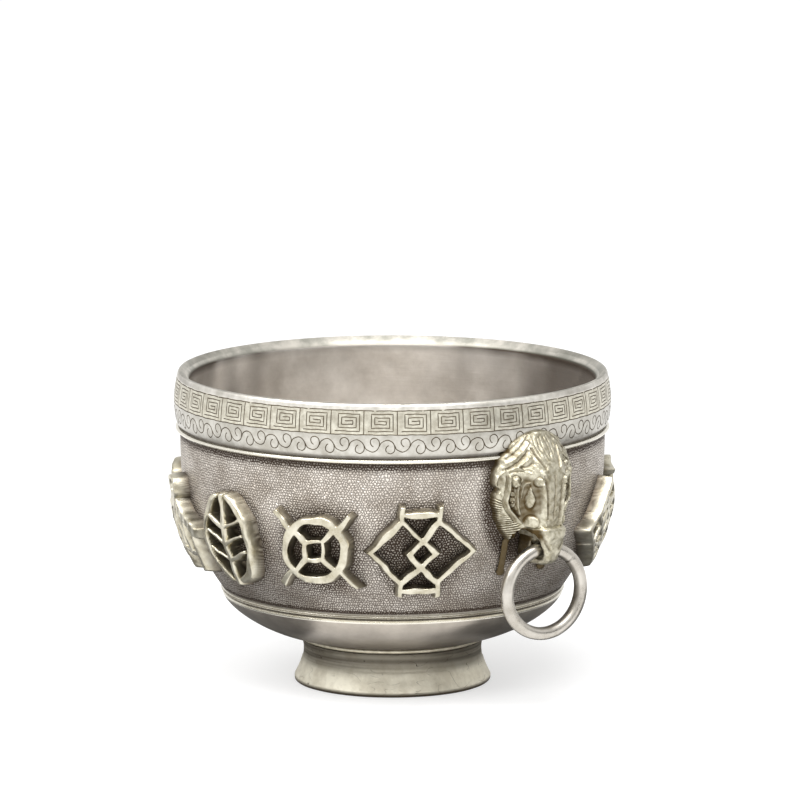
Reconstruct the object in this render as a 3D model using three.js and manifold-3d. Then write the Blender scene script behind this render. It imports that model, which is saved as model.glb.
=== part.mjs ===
// Footed bowl in white brass: a matted wall with ten cast openwork emblems, an engraved rim
// band, and two beast masks whose pierced mouths hold loose rings.
// Millimetres, +Z up. The origin is the centre of the foot's underside; the masks lie on X.
import * as THREE from 'three';
import { mergeVertices } from 'three/addons/utils/BufferGeometryUtils.js';
import Module from 'manifold-3d';

const wasm = await Module();
wasm.setup();

// Clearance that soldered pieces keep to what carries them
const SEAT_GAP = 0.3;

// Heights of the bowl's zones, from the foot upwards
const FOOT_HEIGHT = 11.4;
const LOWER_BODY_HEIGHT = 9.9;
const FILLET_HEIGHT = 2.4;
const WALL_HEIGHT = 38.5;
const BAND_HEIGHT = 13;

// Bowl shell
const SHELL_THICKNESS = 2.35;
const STEM_RADIUS = 22;
const BODY_RADIUS = 40.5;
const WALL_RADIUS = 50.65;
const WALL_BELLY_HEIGHT = 34.4;
const FILLET_SEAT_DEPTH = 1;

// Curve handles of the lower body and the wall, as shares of each stretch's width and height
const LOWER_BODY_HANDLES = [[0.38, 0.08], [0.87, 0.57]];
const WALL_HANDLES = [[0.42, 0.17], [0.985, 0.42]];

// Rim band and the bead under it: how far they stand outside the wall, and their heights
const BAND_STANDOFF = 1.4;
const BAND_HEEL_STANDOFF = 0.85;
const LIP_STANDOFF = 0.35;
const LIP_FLAT = 0.7;
const LIP_BEVEL_DROP = 2.1;
const BAND_GROOVE_HEIGHT = 0.8;
const BEAD_THICKNESS = 0.8;
const BEAD_HEIGHT = 1.1;

// Lower fillet
const FILLET_RIDGE = 0.5;

// Foot ring and its collar
const FOOT_BASE_RADIUS = 23.5;
const FOOT_WAIST_RADIUS = 21.6;
const FOOT_WAIST_HEIGHT = 5.4;
const FOOT_WALL = 2.5;
const FOOT_EDGE = 0.6;
const FOOT_LAND_HEIGHT = 1.2;
const COLLAR_HEIGHT = 1.1;
const COLLAR_THICKNESS = 0.9;

// Openwork emblems: how far their faces stand off the wall, and where they sit
const EMBLEM_RISE = 3.9;
const EMBLEM_CENTRE_HEIGHT = 40.3;
const EMBLEM_HALF_HEIGHT = 11.8;
const EMBLEM_STROKE = 1.7;
const EMBLEM_PITCH = THREE.MathUtils.degToRad(28);
const EMBLEM_TURN = THREE.MathUtils.degToRad(1.65);

// Beast masks: an egg-shaped outline cut off above the mouth, and a face that domes up to the nose.
// Heights on the face are measured from the line where the mask is widest.
const MASK_HALF_WIDTH = 11.8;
const MASK_ABOVE_MOUTH = 14.2;
const MASK_CROWN_LENGTH = 13.6;
const MASK_JAW_LENGTH = 14.8;
const MASK_CHEEK_DROP = 12.6;
const MASK_SCALLOP = 0.5;
const MASK_SCALLOPS = 4;
const MASK_EDGE = 1;
const MASK_DOME = 4.6;
const MASK_DOME_POWER = 2.2;
const CROWN_DOME = 1.1;
const NOSE_RISE = 3.8;
const NOSE_HALF_WIDTH = 4.6;
const NOSE_TOP = 8;
const NOSE_FADE = 5;

// The beak that closes round the ring, and the mouth's open sides
const SNOUT_WIDTH = 7.4;
const SNOUT_BEVEL = 1.6;
const SNOUT_TOP = -5;
const SNOUT_REACH = 9.2;
const BEAK_TAPER = 0.5;
const BEAK_TAPER_HEIGHT = 7.5;
const MOUTH_NECK_WIDTH = 5;
const MOUTH_WIDTH = 12.4;
const MOUTH_ARCH = 5;
const TAIL_ACROSS = 6.7;
const TAIL_DROP = 6;
const TAIL_RADIUS = 1.1;
const TAIL_KNOB = 1.3;

// Bosses of the face, each given as distance across, height, half-width, half-height and rise
const MASK_BOSSES = [
  [7.3, 2.6, 1.3, 1.5, 1.3],
  [3.9, 2.3, 1.2, 1.2, 1.2],
  [5, -1.5, 1.4, 2.6, 1.2],
  [4.7, -7.3, 1.55, 1.55, 1.1],
];
const BOSS_SIDES = 6;
const BOSS_RINGS = 3;

// Raised lines of the face, as points across and up: eye socket, brow and muzzle
const MASK_LINES = [
  [[8.4, 4.2], [9.4, -0.8], [8.5, -4.4], [6, -7.7]],
  [[4.5, 9.6], [5.9, 7.7], [8.6, 6.2]],
  [[3.1, 0.4], [2.9, -4.4], [2.7, -8.4]],
];
const MASK_LINE_RADIUS = 0.6;
const MASK_LINE_SIDES = 4;
const MASK_LINE_STEPS = 3;
const MANE_RIDGES = 5;
const MANE_RIDGE = 0.5;
const MANE_LENGTH = 2.6;
const MANE_DROOP = 0.7;
const MANE_LOW = -11.4;
const MANE_HIGH = -2.4;

// Loose rings and the mouth holes that hold them
const RING_RADIUS = 10.1;
const WIRE_RADIUS = 1.5;
const MOUTH_CLEARANCE = 0.95;
const MOUTH_HEIGHT = 39.8;
const MOUTH_STANDOFF = 4.6;
const MOUTH_WALL = 1.4;
const RING_TWIST = THREE.MathUtils.degToRad(8);

// Fineness of the surfaces
const TURN_STEPS = 36;
const CURVE_STEPS = 4;
const CROWN_STEPS = 4;
const ARC_STEPS = 5;
const FACE_COLUMNS = 12;
const FACE_ROWS = 8;
const HOLE_STEPS = 12;
const RING_STEPS = 28;
const WIRE_SIDES = 8;

const bodyBase = FOOT_HEIGHT;
const filletBase = bodyBase + LOWER_BODY_HEIGHT;
const wallBase = filletBase + FILLET_HEIGHT;
const bandBase = wallBase + WALL_HEIGHT;
const lipTop = bandBase + BAND_HEIGHT;
const innerRadius = WALL_RADIUS - SHELL_THICKNESS;
const bandRadius = WALL_RADIUS + BAND_STANDOFF;
const maskMiddle = MOUTH_HEIGHT + MASK_ABOVE_MOUTH;

const point = (radius, height) => new THREE.Vector2(radius, height);

// One stretch of the outer wall
function stretch(start, end, handles) {
  const [first, last] = handles.map(([across, up]) => point(
    THREE.MathUtils.lerp(start.x, end.x, across), THREE.MathUtils.lerp(start.y, end.y, up),
  ));
  return new THREE.CubicBezierCurve(start, first, last, end).getPoints(CURVE_STEPS);
}

const lowerBodyLine = stretch(
  point(STEM_RADIUS, bodyBase), point(BODY_RADIUS, filletBase), LOWER_BODY_HANDLES,
);
const wallLine = stretch(
  point(BODY_RADIUS + FILLET_RIDGE, wallBase), point(WALL_RADIUS, wallBase + WALL_BELLY_HEIGHT),
  WALL_HANDLES,
);

// Outer radius of the bare wall at a height, read along the profile
function wallRadiusAt(height) {
  const line = [...lowerBodyLine, ...wallLine, point(WALL_RADIUS, bandBase)];
  for (let i = 1; i < line.length; i += 1) {
    if (height <= line[i].y) {
      const share = (height - line[i - 1].y) / (line[i].y - line[i - 1].y || 1);
      return THREE.MathUtils.lerp(line[i - 1].x, line[i].x, share);
    }
  }
  return WALL_RADIUS;
}

// A closed geometry's positions and faces, merged, without slivers and facing outwards
function cleaned(geometry) {
  const bare = geometry.clone();
  for (const name of Object.keys(bare.attributes)) {
    if (name !== 'position') bare.deleteAttribute(name);
  }
  const merged = mergeVertices(bare, 1e-4);
  const faces = [];
  for (let i = 0; i < merged.index.count; i += 3) {
    const corners = [0, 1, 2].map((k) => merged.index.getX(i + k));
    if (new Set(corners).size === 3) faces.push(corners);
  }
  const at = (i) => new THREE.Vector3().fromBufferAttribute(merged.attributes.position, i);
  const volume = faces.reduce((sum, [a, b, c]) => sum + at(a).dot(at(b).cross(at(c))), 0);
  if (volume < 0) faces.forEach((corners) => corners.reverse());
  merged.setIndex(faces.flat());
  return merged;
}

function solid(geometry) {
  const shape = cleaned(geometry);
  return new wasm.Manifold(new wasm.Mesh({
    numProp: 3,
    vertProperties: new Float32Array(shape.attributes.position.array),
    triVerts: new Uint32Array(shape.index.array),
  }));
}

function geometryOf(manifold) {
  const mesh = manifold.getMesh();
  const geometry = new THREE.BufferGeometry();
  geometry.setAttribute('position', new THREE.BufferAttribute(mesh.vertProperties, 3));
  geometry.setIndex(new THREE.BufferAttribute(mesh.triVerts, 1));
  return geometry;
}

const joined = (solids) => solids.reduce((sum, next) => sum.add(next));

// A closed outline of (radius, height) points turned about Z
function turned(outline) {
  const onAxis = outline[0].x === 0 && outline[outline.length - 1].x === 0;
  const line = onAxis ? outline : [...outline, outline[0]];
  return cleaned(new THREE.LatheGeometry(line, TURN_STEPS).rotateX(Math.PI / 2));
}

// The same line moved sideways by a distance, towards the bowl's inside
function insetLine(line, distance) {
  return line.map((spot, i) => {
    const before = line[Math.max(i - 1, 0)];
    const after = line[Math.min(i + 1, line.length - 1)];
    const along = after.clone().sub(before).normalize();
    return point(spot.x - along.y * distance, spot.y + along.x * distance);
  });
}

function bowlShell() {
  const seatRadius = BODY_RADIUS - FILLET_SEAT_DEPTH;
  const innerWall = insetLine(wallLine, SHELL_THICKNESS);
  innerWall[innerWall.length - 1].x = innerRadius;
  const innerBody = insetLine(lowerBodyLine, SHELL_THICKNESS).slice(1, -1);
  return turned([
    point(0, bodyBase),
    ...lowerBodyLine,
    point(seatRadius, filletBase),
    point(seatRadius, wallBase),
    ...wallLine,
    point(WALL_RADIUS, bandBase),
    point(innerRadius, bandBase),
    ...innerWall.reverse(),
    ...innerBody.reverse(),
    point(0, innerBody[innerBody.length - 1].y),
  ]);
}

function rimBand() {
  const grooveTop = bandBase + BAND_GROOVE_HEIGHT;
  const lipHeel = lipTop - LIP_BEVEL_DROP;
  const lipRadius = WALL_RADIUS + LIP_STANDOFF;
  const belly = new THREE.QuadraticBezierCurve(
    point(WALL_RADIUS + BAND_HEEL_STANDOFF, grooveTop),
    point(bandRadius + BAND_STANDOFF / 2, (grooveTop + lipHeel) / 2),
    point(lipRadius + SEAT_GAP, lipHeel + LIP_BEVEL_DROP / 2),
  ).getPoints(CURVE_STEPS);
  return turned([
    point(innerRadius, bandBase),
    point(WALL_RADIUS, bandBase),
    point(WALL_RADIUS, grooveTop),
    ...belly,
    point(lipRadius, lipTop),
    point(lipRadius - LIP_FLAT, lipTop),
    point(innerRadius, lipHeel),
  ]);
}

// Half-round wire round a straight stretch of wall
function halfRoundRing(seatRadius, base, height, thickness) {
  const crown = new THREE.EllipseCurve(
    seatRadius, base + height / 2, thickness, height / 2, -Math.PI / 2, Math.PI / 2,
  ).getPoints(CROWN_STEPS);
  return turned(crown);
}

function rimBead() {
  return halfRoundRing(
    WALL_RADIUS + SEAT_GAP, bandBase - BEAD_HEIGHT, BEAD_HEIGHT, BEAD_THICKNESS,
  );
}

// Two ridges with a groove between, in the shell's seat
function lowerFillet() {
  const inner = BODY_RADIUS - FILLET_SEAT_DEPTH + SEAT_GAP;
  const base = filletBase + SEAT_GAP;
  const height = FILLET_HEIGHT - 2 * SEAT_GAP;
  const ridge = (share) => base + height * share;
  return turned([
    point(inner, base),
    point(BODY_RADIUS - FILLET_RIDGE / 2, base),
    point(BODY_RADIUS + FILLET_RIDGE / 2, ridge(0.2)),
    point(BODY_RADIUS - FILLET_RIDGE / 2, ridge(0.45)),
    point(BODY_RADIUS, ridge(0.6)),
    point(BODY_RADIUS + FILLET_RIDGE, ridge(0.8)),
    point(BODY_RADIUS, ridge(1)),
    point(inner, ridge(1)),
  ]);
}

function footRing() {
  const neckRadius = FOOT_WAIST_RADIUS - COLLAR_THICKNESS / 2;
  const collarBase = FOOT_HEIGHT - COLLAR_HEIGHT - SEAT_GAP;
  const sweep = new THREE.QuadraticBezierCurve(
    point(FOOT_BASE_RADIUS, FOOT_LAND_HEIGHT),
    point(FOOT_WAIST_RADIUS, FOOT_LAND_HEIGHT + (FOOT_WAIST_HEIGHT - FOOT_LAND_HEIGHT) / 3),
    point(FOOT_WAIST_RADIUS, FOOT_WAIST_HEIGHT),
  ).getPoints(CURVE_STEPS);
  return turned([
    point(FOOT_BASE_RADIUS - FOOT_EDGE, 0),
    point(FOOT_BASE_RADIUS, FOOT_EDGE),
    ...sweep,
    point(FOOT_WAIST_RADIUS, collarBase),
    point(neckRadius, collarBase),
    point(neckRadius, FOOT_HEIGHT),
    point(neckRadius - FOOT_WALL, FOOT_HEIGHT),
    point(FOOT_WAIST_RADIUS - FOOT_WALL, FOOT_WAIST_HEIGHT),
    point(FOOT_BASE_RADIUS - FOOT_WALL, 0),
  ]);
}

function footCollar() {
  const inner = FOOT_WAIST_RADIUS - COLLAR_THICKNESS / 2 + SEAT_GAP;
  return halfRoundRing(inner, FOOT_HEIGHT - COLLAR_HEIGHT, COLLAR_HEIGHT, COLLAR_THICKNESS);
}

// The wall's profile between two heights, moved outwards
function wallSlice(offset, low, high) {
  const breaks = wallLine.map((spot) => spot.y).filter((z) => z > low && z < high);
  return [low, ...breaks, high].map((z) => point(wallRadiusAt(z) + offset, z));
}

// Flat prisms that the emblems are drawn with: x runs to the viewer's right, y upwards. They are
// drawn on a grid of ten squares from centre to top, with widths as shares of the usual stroke.
const emblemDepth = 2 * EMBLEM_RISE + WALL_RADIUS - BODY_RADIUS;
const emblemSquare = EMBLEM_HALF_HEIGHT / 10;

function prism(shape) {
  return solid(new THREE.ExtrudeGeometry(shape, {
    depth: emblemDepth, bevelEnabled: false, curveSegments: ARC_STEPS,
  }));
}

// Straight stroke with square ends that reach half its width past both points
function bar([x1, y1], [x2, y2], weight = 1) {
  const start = point(x1, y1).multiplyScalar(emblemSquare);
  const end = point(x2, y2).multiplyScalar(emblemSquare);
  const along = end.clone().sub(start).setLength(weight * EMBLEM_STROKE / 2);
  const side = point(-along.y, along.x);
  return prism(new THREE.Shape([
    start.clone().sub(along).sub(side), end.clone().add(along).sub(side),
    end.clone().add(along).add(side), start.clone().sub(along).add(side),
  ]));
}

const path = (points, weight) => points.slice(1).map((end, i) => bar(points[i], end, weight));
const loop = (points, weight) => path([...points, points[0]], weight);

// Round stroke about a centre, from one angle in degrees to another; a full circle if none are given
function arc([x, y], squares, from = 0, to = 360, weight = 1) {
  const shape = new THREE.Shape();
  const centre = point(x, y).multiplyScalar(emblemSquare);
  const outer = squares * emblemSquare + weight * EMBLEM_STROKE / 2;
  const inner = squares * emblemSquare - weight * EMBLEM_STROKE / 2;
  const [start, end] = [from, to].map(THREE.MathUtils.degToRad);
  shape.absarc(centre.x, centre.y, outer, start, end);
  if (to - from >= 360) {
    const hole = new THREE.Path();
    hole.absarc(centre.x, centre.y, inner, 0, 2 * Math.PI, true);
    shape.holes.push(hole);
  } else {
    shape.absarc(centre.x, centre.y, inner, end, start, true);
  }
  return prism(shape);
}

const mirrored = (draw) => [...draw(1), ...draw(-1)];
const lozenge = ([x, y], half) => loop([[x + half, y], [x, y + half], [x - half, y], [x, y - half]]);

// Common auspicious emblems, each one connected piece of openwork
const emblems = {
  coin: () => [
    arc([0, 0], 6.3, 0, 360, 1.2),
    ...loop([[1.9, 1.9], [-1.9, 1.9], [-1.9, -1.9], [1.9, -1.9]], 0.8),
    ...mirrored((s) => [bar([1.9 * s, 1.9], [4.4 * s, 4.4]), bar([1.9 * s, -1.9], [4.4 * s, -4.4])]),
    ...mirrored((s) => [bar([5.1 * s, -4.3], [7.5 * s, -8]), bar([5.1 * s, 4.3], [7.5 * s, 8])]),
  ],
  lozenges: () => [
    ...mirrored((s) => lozenge([3.7 * s, 0], 6.4)),
    ...mirrored((s) => [bar([-3.7, 8 * s], [3.7, 8 * s]), bar([-3.7, 6.3 * s], [-3.7, 9 * s])]),
    ...mirrored((s) => [bar([3.7, 6.3 * s], [3.7, 9 * s])]),
  ],
  leaf: () => [
    ...mirrored((s) => [arc([-3.8 * s, 0], 10.2, s > 0 ? -58 : 122, s > 0 ? 58 : 238)]),
    bar([0, -9.3], [0, 8.8], 0.9),
    ...mirrored((s) => [-4.7, -1.3, 2.1].map((y) => bar([0, y], [4.9 * s, y + 2.7], 0.7))),
  ],
  ruyi: () => [
    ...mirrored((s) => [arc([4.7 * s, 0.4], 3.6)]),
    arc([0, 4.7], 4.1),
    bar([0, 0.7], [0, -8.6], 1.3),
    bar([-4.2, -8.6], [4.2, -8.6]),
    ...mirrored((s) => [bar([4.7 * s, -3.2], [0.5 * s, -6.3])]),
  ],
  chime: () => [
    ...path([[-9.2, -0.4], [0, 4.7], [9.2, -0.4]], 1.75),
    arc([0, 7.3], 2),
    ...mirrored((s) => [bar([8.1 * s, -0.8], [8.1 * s, -8.1], 0.9)]),
    ...mirrored((s) => [bar([3.9 * s, 1.7], [3.9 * s, -5.1], 0.9)]),
    bar([0, 3.4], [0, -8.6], 1.2),
    ...mirrored((s) => [bar([0, -5.1], [8.1 * s, -5.1], 0.8)]),
  ],
  knot: () => [
    ...lozenge([0, 0], 8.6),
    ...mirrored((s) => [bar([-5.6, -2.9 * s], [2.9, 5.6 * -s]), bar([-2.9, 5.6 * s], [5.6, -2.9 * s])]),
    ...mirrored((s) => [bar([-5.6, 2.9 * s], [2.9, -5.6 * s]), bar([-2.9, -5.6 * s], [5.6, 2.9 * s])]),
  ],
  gourd: () => [
    arc([0, -4.1], 5.1),
    arc([0, 4.1], 3.5),
    bar([0, 7.5], [0, 9.1]),
    ...mirrored((s) => [bar([0, 8.8], [3.9 * s, 7.6]), bar([-4.1 * s, -4.1], [0, -4.1], 0.8)]),
    bar([0, -9.1], [0, -1.9], 0.8),
  ],
  pearl: () => [
    arc([0, 0], 3.7, 0, 360, 1.3),
    arc([0, 0], 8, 200, 340),
    ...mirrored((s) => [bar([2.9 * s, -2.9], [5.3 * s, -5.6]), bar([2.5 * s, 2.9], [4.6 * s, 7.6])]),
    bar([0, 3.7], [0, 8.8]),
    ...mirrored((s) => [bar([7.5 * s, -2.7], [7.5 * s, 3])]),
  ],
  cloud: () => [
    ...mirrored((s) => [arc([4.9 * s, 1.4], 3.6), bar([4.9 * s, 1.4], [7.5 * s, -1.2], 0.8)]),
    arc([0, 5.1], 3, -20, 200),
    ...mirrored((s) => [bar([2.9 * s, 4.1], [3.7 * s, 3.6])]),
    bar([-8.1, -5.4], [8.1, -5.4]),
    ...mirrored((s) => [bar([4.9 * s, -2.2], [4.9 * s, -5.4]), bar([8.1 * s, -5.4], [8.1 * s, -8.3])]),
    bar([0, -5.4], [0, 2]),
    bar([-1.6, 2], [1.6, 2]),
  ],
  wheel: () => [
    arc([0, 0], 7.6, 0, 360, 1.1),
    arc([0, 0], 2.5),
    ...[0, 60, 120, 180, 240, 300].map((turn) => {
      const spoke = point(1, 0).rotateAround(point(0, 0), THREE.MathUtils.degToRad(turn));
      return bar([2.9 * spoke.x, 2.9 * spoke.y], [7.3 * spoke.x, 7.3 * spoke.y], 0.9);
    }),
  ],
};

// Stations about the axis: five on each side between the two masks, all turned a little round the bowl
const emblemStations = [
  ['relief_knot', 'knot', 1, 2], ['relief_gourd', 'gourd', 1, 1], ['relief_pearl', 'pearl', 1, 0],
  ['relief_wheel', 'wheel', 1, -1], ['relief_cloud', 'cloud', 1, -2],
  ['relief_lozenges', 'lozenges', -1, 2], ['relief_coin', 'coin', -1, 1], ['relief_leaf', 'leaf', -1, 0],
  ['relief_chime', 'chime', -1, -1], ['relief_ruyi', 'ruyi', -1, -2],
];

const emblemLow = EMBLEM_CENTRE_HEIGHT - EMBLEM_HALF_HEIGHT;
const emblemHigh = EMBLEM_CENTRE_HEIGHT + EMBLEM_HALF_HEIGHT;
const emblemLayer = solid(turned([
  ...wallSlice(EMBLEM_RISE, emblemLow, emblemHigh),
  ...wallSlice(SEAT_GAP, emblemLow, emblemHigh).reverse(),
]));

function emblem(name, side, step) {
  const angle = side * (Math.PI / 2 - step * EMBLEM_PITCH) + EMBLEM_TURN;
  const outwards = new THREE.Vector3(Math.cos(angle), Math.sin(angle), 0);
  const rightwards = new THREE.Vector3(-Math.sin(angle), Math.cos(angle), 0);
  const place = new THREE.Matrix4().makeBasis(rightwards, new THREE.Vector3(0, 0, 1), outwards);
  place.setPosition(outwards.clone().multiplyScalar(BODY_RADIUS - EMBLEM_RISE).setZ(EMBLEM_CENTRE_HEIGHT));
  const drawn = joined(emblems[name]());
  return geometryOf(emblemLayer.intersect(solid(geometryOf(drawn).applyMatrix4(place))));
}

// Half-width of the mask's outline at a height, with its scallops
function maskHalfWidth(height) {
  const reach = height > maskMiddle ? MASK_CROWN_LENGTH : MASK_JAW_LENGTH;
  const lean = Math.asin(THREE.MathUtils.clamp((height - maskMiddle) / reach, -1, 1));
  const scallop = MASK_SCALLOP * Math.abs(Math.sin(MASK_SCALLOPS * lean));
  return (MASK_HALF_WIDTH + scallop) * Math.cos(lean);
}

// Radius of the mask's face at a distance across and a height
function faceRadius(across, height) {
  const { clamp, lerp, smoothstep } = THREE.MathUtils;
  const side = clamp(Math.abs(across) / maskHalfWidth(height), 0, 1);
  const rise = clamp((height - maskMiddle) / MASK_CROWN_LENGTH, 0, 1);
  const dome = lerp(MASK_DOME, CROWN_DOME, rise ** 2) * (1 - side ** MASK_DOME_POWER);
  const fade = 1 - smoothstep(height - maskMiddle, NOSE_TOP - NOSE_FADE, NOSE_TOP + NOSE_FADE);
  const nose = NOSE_RISE * Math.exp(-((across / NOSE_HALF_WIDTH) ** 4)) * fade;
  return wallRadiusAt(height) + SEAT_GAP + MASK_EDGE + dome + nose;
}

// Place on the mask, by radius, distance across along the wall, and height
function maskSpot(radius, across, height) {
  const turn = across / WALL_RADIUS;
  return new THREE.Vector3(radius * Math.cos(turn), radius * Math.sin(turn), height);
}

// Domed face of the mask as a grid that follows its outline, closed by a back inside the wall
function maskFace() {
  const [columns, rows] = [FACE_COLUMNS, FACE_ROWS];
  const lowest = -Math.asin(MASK_CHEEK_DROP / MASK_JAW_LENGTH);
  const spots = [];
  for (const back of [false, true]) {
    for (let j = 0; j <= rows; j += 1) {
      const lean = THREE.MathUtils.lerp(lowest, Math.PI / 2, j / rows);
      const height = maskMiddle + Math.sin(lean) * (lean > 0 ? MASK_CROWN_LENGTH : MASK_JAW_LENGTH);
      for (let i = 0; i <= columns; i += 1) {
        const across = (2 * i / columns - 1) * maskHalfWidth(height);
        spots.push(maskSpot(back ? BODY_RADIUS : faceRadius(across, height), across, height));
      }
    }
  }
  const layer = (columns + 1) * (rows + 1);
  const spot = (i, j, back) => (back ? layer : 0) + j * (columns + 1) + i;
  const faces = [];
  const quad = (a, b, c, d) => faces.push(a, b, c, a, c, d);
  for (let j = 0; j < rows; j += 1) {
    for (let i = 0; i < columns; i += 1) {
      quad(spot(i, j, false), spot(i + 1, j, false), spot(i + 1, j + 1, false), spot(i, j + 1, false));
      quad(spot(i, j, true), spot(i, j + 1, true), spot(i + 1, j + 1, true), spot(i + 1, j, true));
    }
    quad(spot(0, j, true), spot(0, j, false), spot(0, j + 1, false), spot(0, j + 1, true));
    const [front, behind] = [spot(columns, j, false), spot(columns, j, true)];
    quad(front, behind, spot(columns, j + 1, true), spot(columns, j + 1, false));
  }
  for (let i = 0; i < columns; i += 1) {
    quad(spot(i, 0, false), spot(i, 0, true), spot(i + 1, 0, true), spot(i + 1, 0, false));
    quad(spot(i, rows, false), spot(i + 1, rows, false), spot(i + 1, rows, true), spot(i, rows, true));
  }
  const geometry = new THREE.BufferGeometry().setFromPoints(spots);
  geometry.setIndex(faces);
  return solid(geometry);
}

// Egg-shaped boss that stands out of the face
function boss(across, above, halfWidth, halfHeight, rise) {
  const height = maskMiddle + above;
  const egg = new THREE.SphereGeometry(1, BOSS_SIDES, BOSS_RINGS).scale(rise, halfWidth, halfHeight);
  const spot = maskSpot(faceRadius(across, height), across, height);
  return solid(egg.rotateZ(across / WALL_RADIUS).translate(spot.x, spot.y, spot.z));
}

// Bead along a curve through places on the mask
function bead(places, radius, steps) {
  const section = new THREE.Shape(Array.from({ length: MASK_LINE_SIDES }, (_, i) => (
    point(radius, 0).rotateAround(point(0, 0), 2 * Math.PI * i / MASK_LINE_SIDES)
  )));
  return solid(new THREE.ExtrudeGeometry(section, {
    steps, bevelEnabled: false, extrudePath: new THREE.CatmullRomCurve3(places),
  }));
}

// Raised line on the face through points given as distances across and above the middle
function faceLine(side, points, radius, steps) {
  const line = new THREE.SplineCurve(points.map(([across, above]) => point(across, maskMiddle + above)));
  const places = line.getSpacedPoints(steps).map(
    (spot) => maskSpot(faceRadius(spot.x, spot.y) + radius / 2, side * spot.x, spot.y),
  );
  return bead(places, radius, steps);
}

function maskLines() {
  return mirrored((side) => MASK_LINES.map(
    (points) => faceLine(side, points, MASK_LINE_RADIUS, MASK_LINE_STEPS),
  ));
}

// Hatch ridges of the mane on the cheeks' lower outer edges
function maskMane() {
  return mirrored((side) => Array.from({ length: MANE_RIDGES }, (_, i) => {
    const above = THREE.MathUtils.lerp(MANE_LOW, MANE_HIGH, i / (MANE_RIDGES - 1));
    const outer = maskHalfWidth(maskMiddle + above) - MANE_RIDGE;
    return faceLine(side, [[outer, above], [outer - MANE_LENGTH, above - MANE_DROOP]], MANE_RIDGE, 1);
  }));
}

// Tails of the jaw, which run down the wall from the mouth's corners and end in knobs
function maskTails() {
  return mirrored((side) => {
    const start = maskMiddle - MASK_CHEEK_DROP + TAIL_RADIUS;
    const low = MOUTH_HEIGHT - TAIL_DROP;
    const places = [start, (start + low) / 2, low].map(
      (height) => maskSpot(wallRadiusAt(height) + TAIL_RADIUS / 2, side * TAIL_ACROSS, height),
    );
    const end = places[places.length - 1];
    const knob = new THREE.SphereGeometry(TAIL_KNOB, BOSS_SIDES, BOSS_RINGS).translate(end.x, end.y, end.z);
    return [bead(places, TAIL_RADIUS, MASK_LINE_STEPS), solid(knob)];
  });
}

const mouthCentre = point(WALL_RADIUS + MOUTH_STANDOFF, MOUTH_HEIGHT);
const mouthHoleRadius = WIRE_RADIUS + MOUTH_CLEARANCE;

// A side view of radius and height made a plate across the mask, from one distance across to another
function sidePlate(outline, from, to, bevel) {
  return new THREE.ExtrudeGeometry(outline, {
    depth: to - from - 2 * bevel, bevelThickness: bevel, bevelSize: bevel, bevelOffset: -bevel,
    bevelSegments: 2, bevelEnabled: bevel > 0, curveSegments: CROWN_STEPS,
  }).translate(0, 0, from + bevel).rotateX(Math.PI / 2);
}

// End of the nose down to the beak and chin, drawn from the side and narrowed towards the chin
function maskSnout() {
  const ridge = WALL_RADIUS + SNOUT_REACH;
  const beak = mouthCentre.x + mouthHoleRadius + MOUTH_WALL;
  const chin = mouthCentre.y - mouthHoleRadius - MOUTH_WALL;
  const top = maskMiddle + SNOUT_TOP;
  const outline = new THREE.Shape();
  outline.moveTo(BODY_RADIUS, top);
  outline.lineTo(ridge - MOUTH_WALL, top);
  outline.quadraticCurveTo(
    ridge + MOUTH_WALL / 2, (top + mouthCentre.y) / 2, beak, mouthCentre.y + WIRE_RADIUS,
  );
  outline.quadraticCurveTo(beak, chin, mouthCentre.x, chin);
  outline.lineTo(BODY_RADIUS, chin);
  const plate = sidePlate(outline, -SNOUT_WIDTH / 2, SNOUT_WIDTH / 2, SNOUT_BEVEL);
  const places = plate.attributes.position;
  for (let i = 0; i < places.count; i += 1) {
    const share = THREE.MathUtils.smoothstep(places.getZ(i), chin, chin + BEAK_TAPER_HEIGHT);
    places.setY(i, places.getY(i) * THREE.MathUtils.lerp(BEAK_TAPER, 1, share));
  }
  return solid(plate);
}

// The mouth's open sides, between the beak's neck and the tails of the jaw
function mouthSides() {
  const front = mouthCentre.x + mouthHoleRadius;
  const roof = mouthCentre.y + MOUTH_ARCH;
  const outline = new THREE.Shape();
  outline.moveTo(BODY_RADIUS, mouthCentre.y - MOUTH_ARCH);
  outline.lineTo(front, mouthCentre.y - MOUTH_ARCH);
  outline.lineTo(front, mouthCentre.y);
  outline.quadraticCurveTo(front, roof, mouthCentre.x - mouthHoleRadius, roof);
  outline.lineTo(BODY_RADIUS, roof);
  return [
    solid(sidePlate(outline, MOUTH_NECK_WIDTH / 2, MOUTH_WIDTH / 2, 0)),
    solid(sidePlate(outline, -MOUTH_WIDTH / 2, -MOUTH_NECK_WIDTH / 2, 0)),
  ];
}

function maskOnRight() {
  const beadBase = bandBase - BEAD_HEIGHT - SEAT_GAP;
  const carriers = solid(turned([
    point(0, wallBase),
    ...wallSlice(SEAT_GAP, wallBase, beadBase),
    point(bandRadius + SEAT_GAP, beadBase),
    point(bandRadius + SEAT_GAP, lipTop),
    point(0, lipTop),
  ]));
  const hole = solid(new THREE.CylinderGeometry(mouthHoleRadius, mouthHoleRadius, MOUTH_WIDTH, HOLE_STEPS)
    .translate(mouthCentre.x, 0, mouthCentre.y));
  const bosses = mirrored((side) => MASK_BOSSES.map(([across, ...rest]) => boss(side * across, ...rest)));
  const face = joined([maskFace(), ...bosses, ...maskLines(), ...maskMane(), maskSnout()]);
  const open = [hole, ...mouthSides()].reduce((left, cut) => left.subtract(cut), face);
  return geometryOf(joined([open, ...maskTails()]).subtract(carriers));
}

function looseRing(twist) {
  return new THREE.TorusGeometry(RING_RADIUS, WIRE_RADIUS, WIRE_SIDES, RING_STEPS)
    .rotateY(Math.PI / 2).rotateZ(twist).translate(mouthCentre.x, 0, mouthCentre.y - RING_RADIUS);
}

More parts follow.
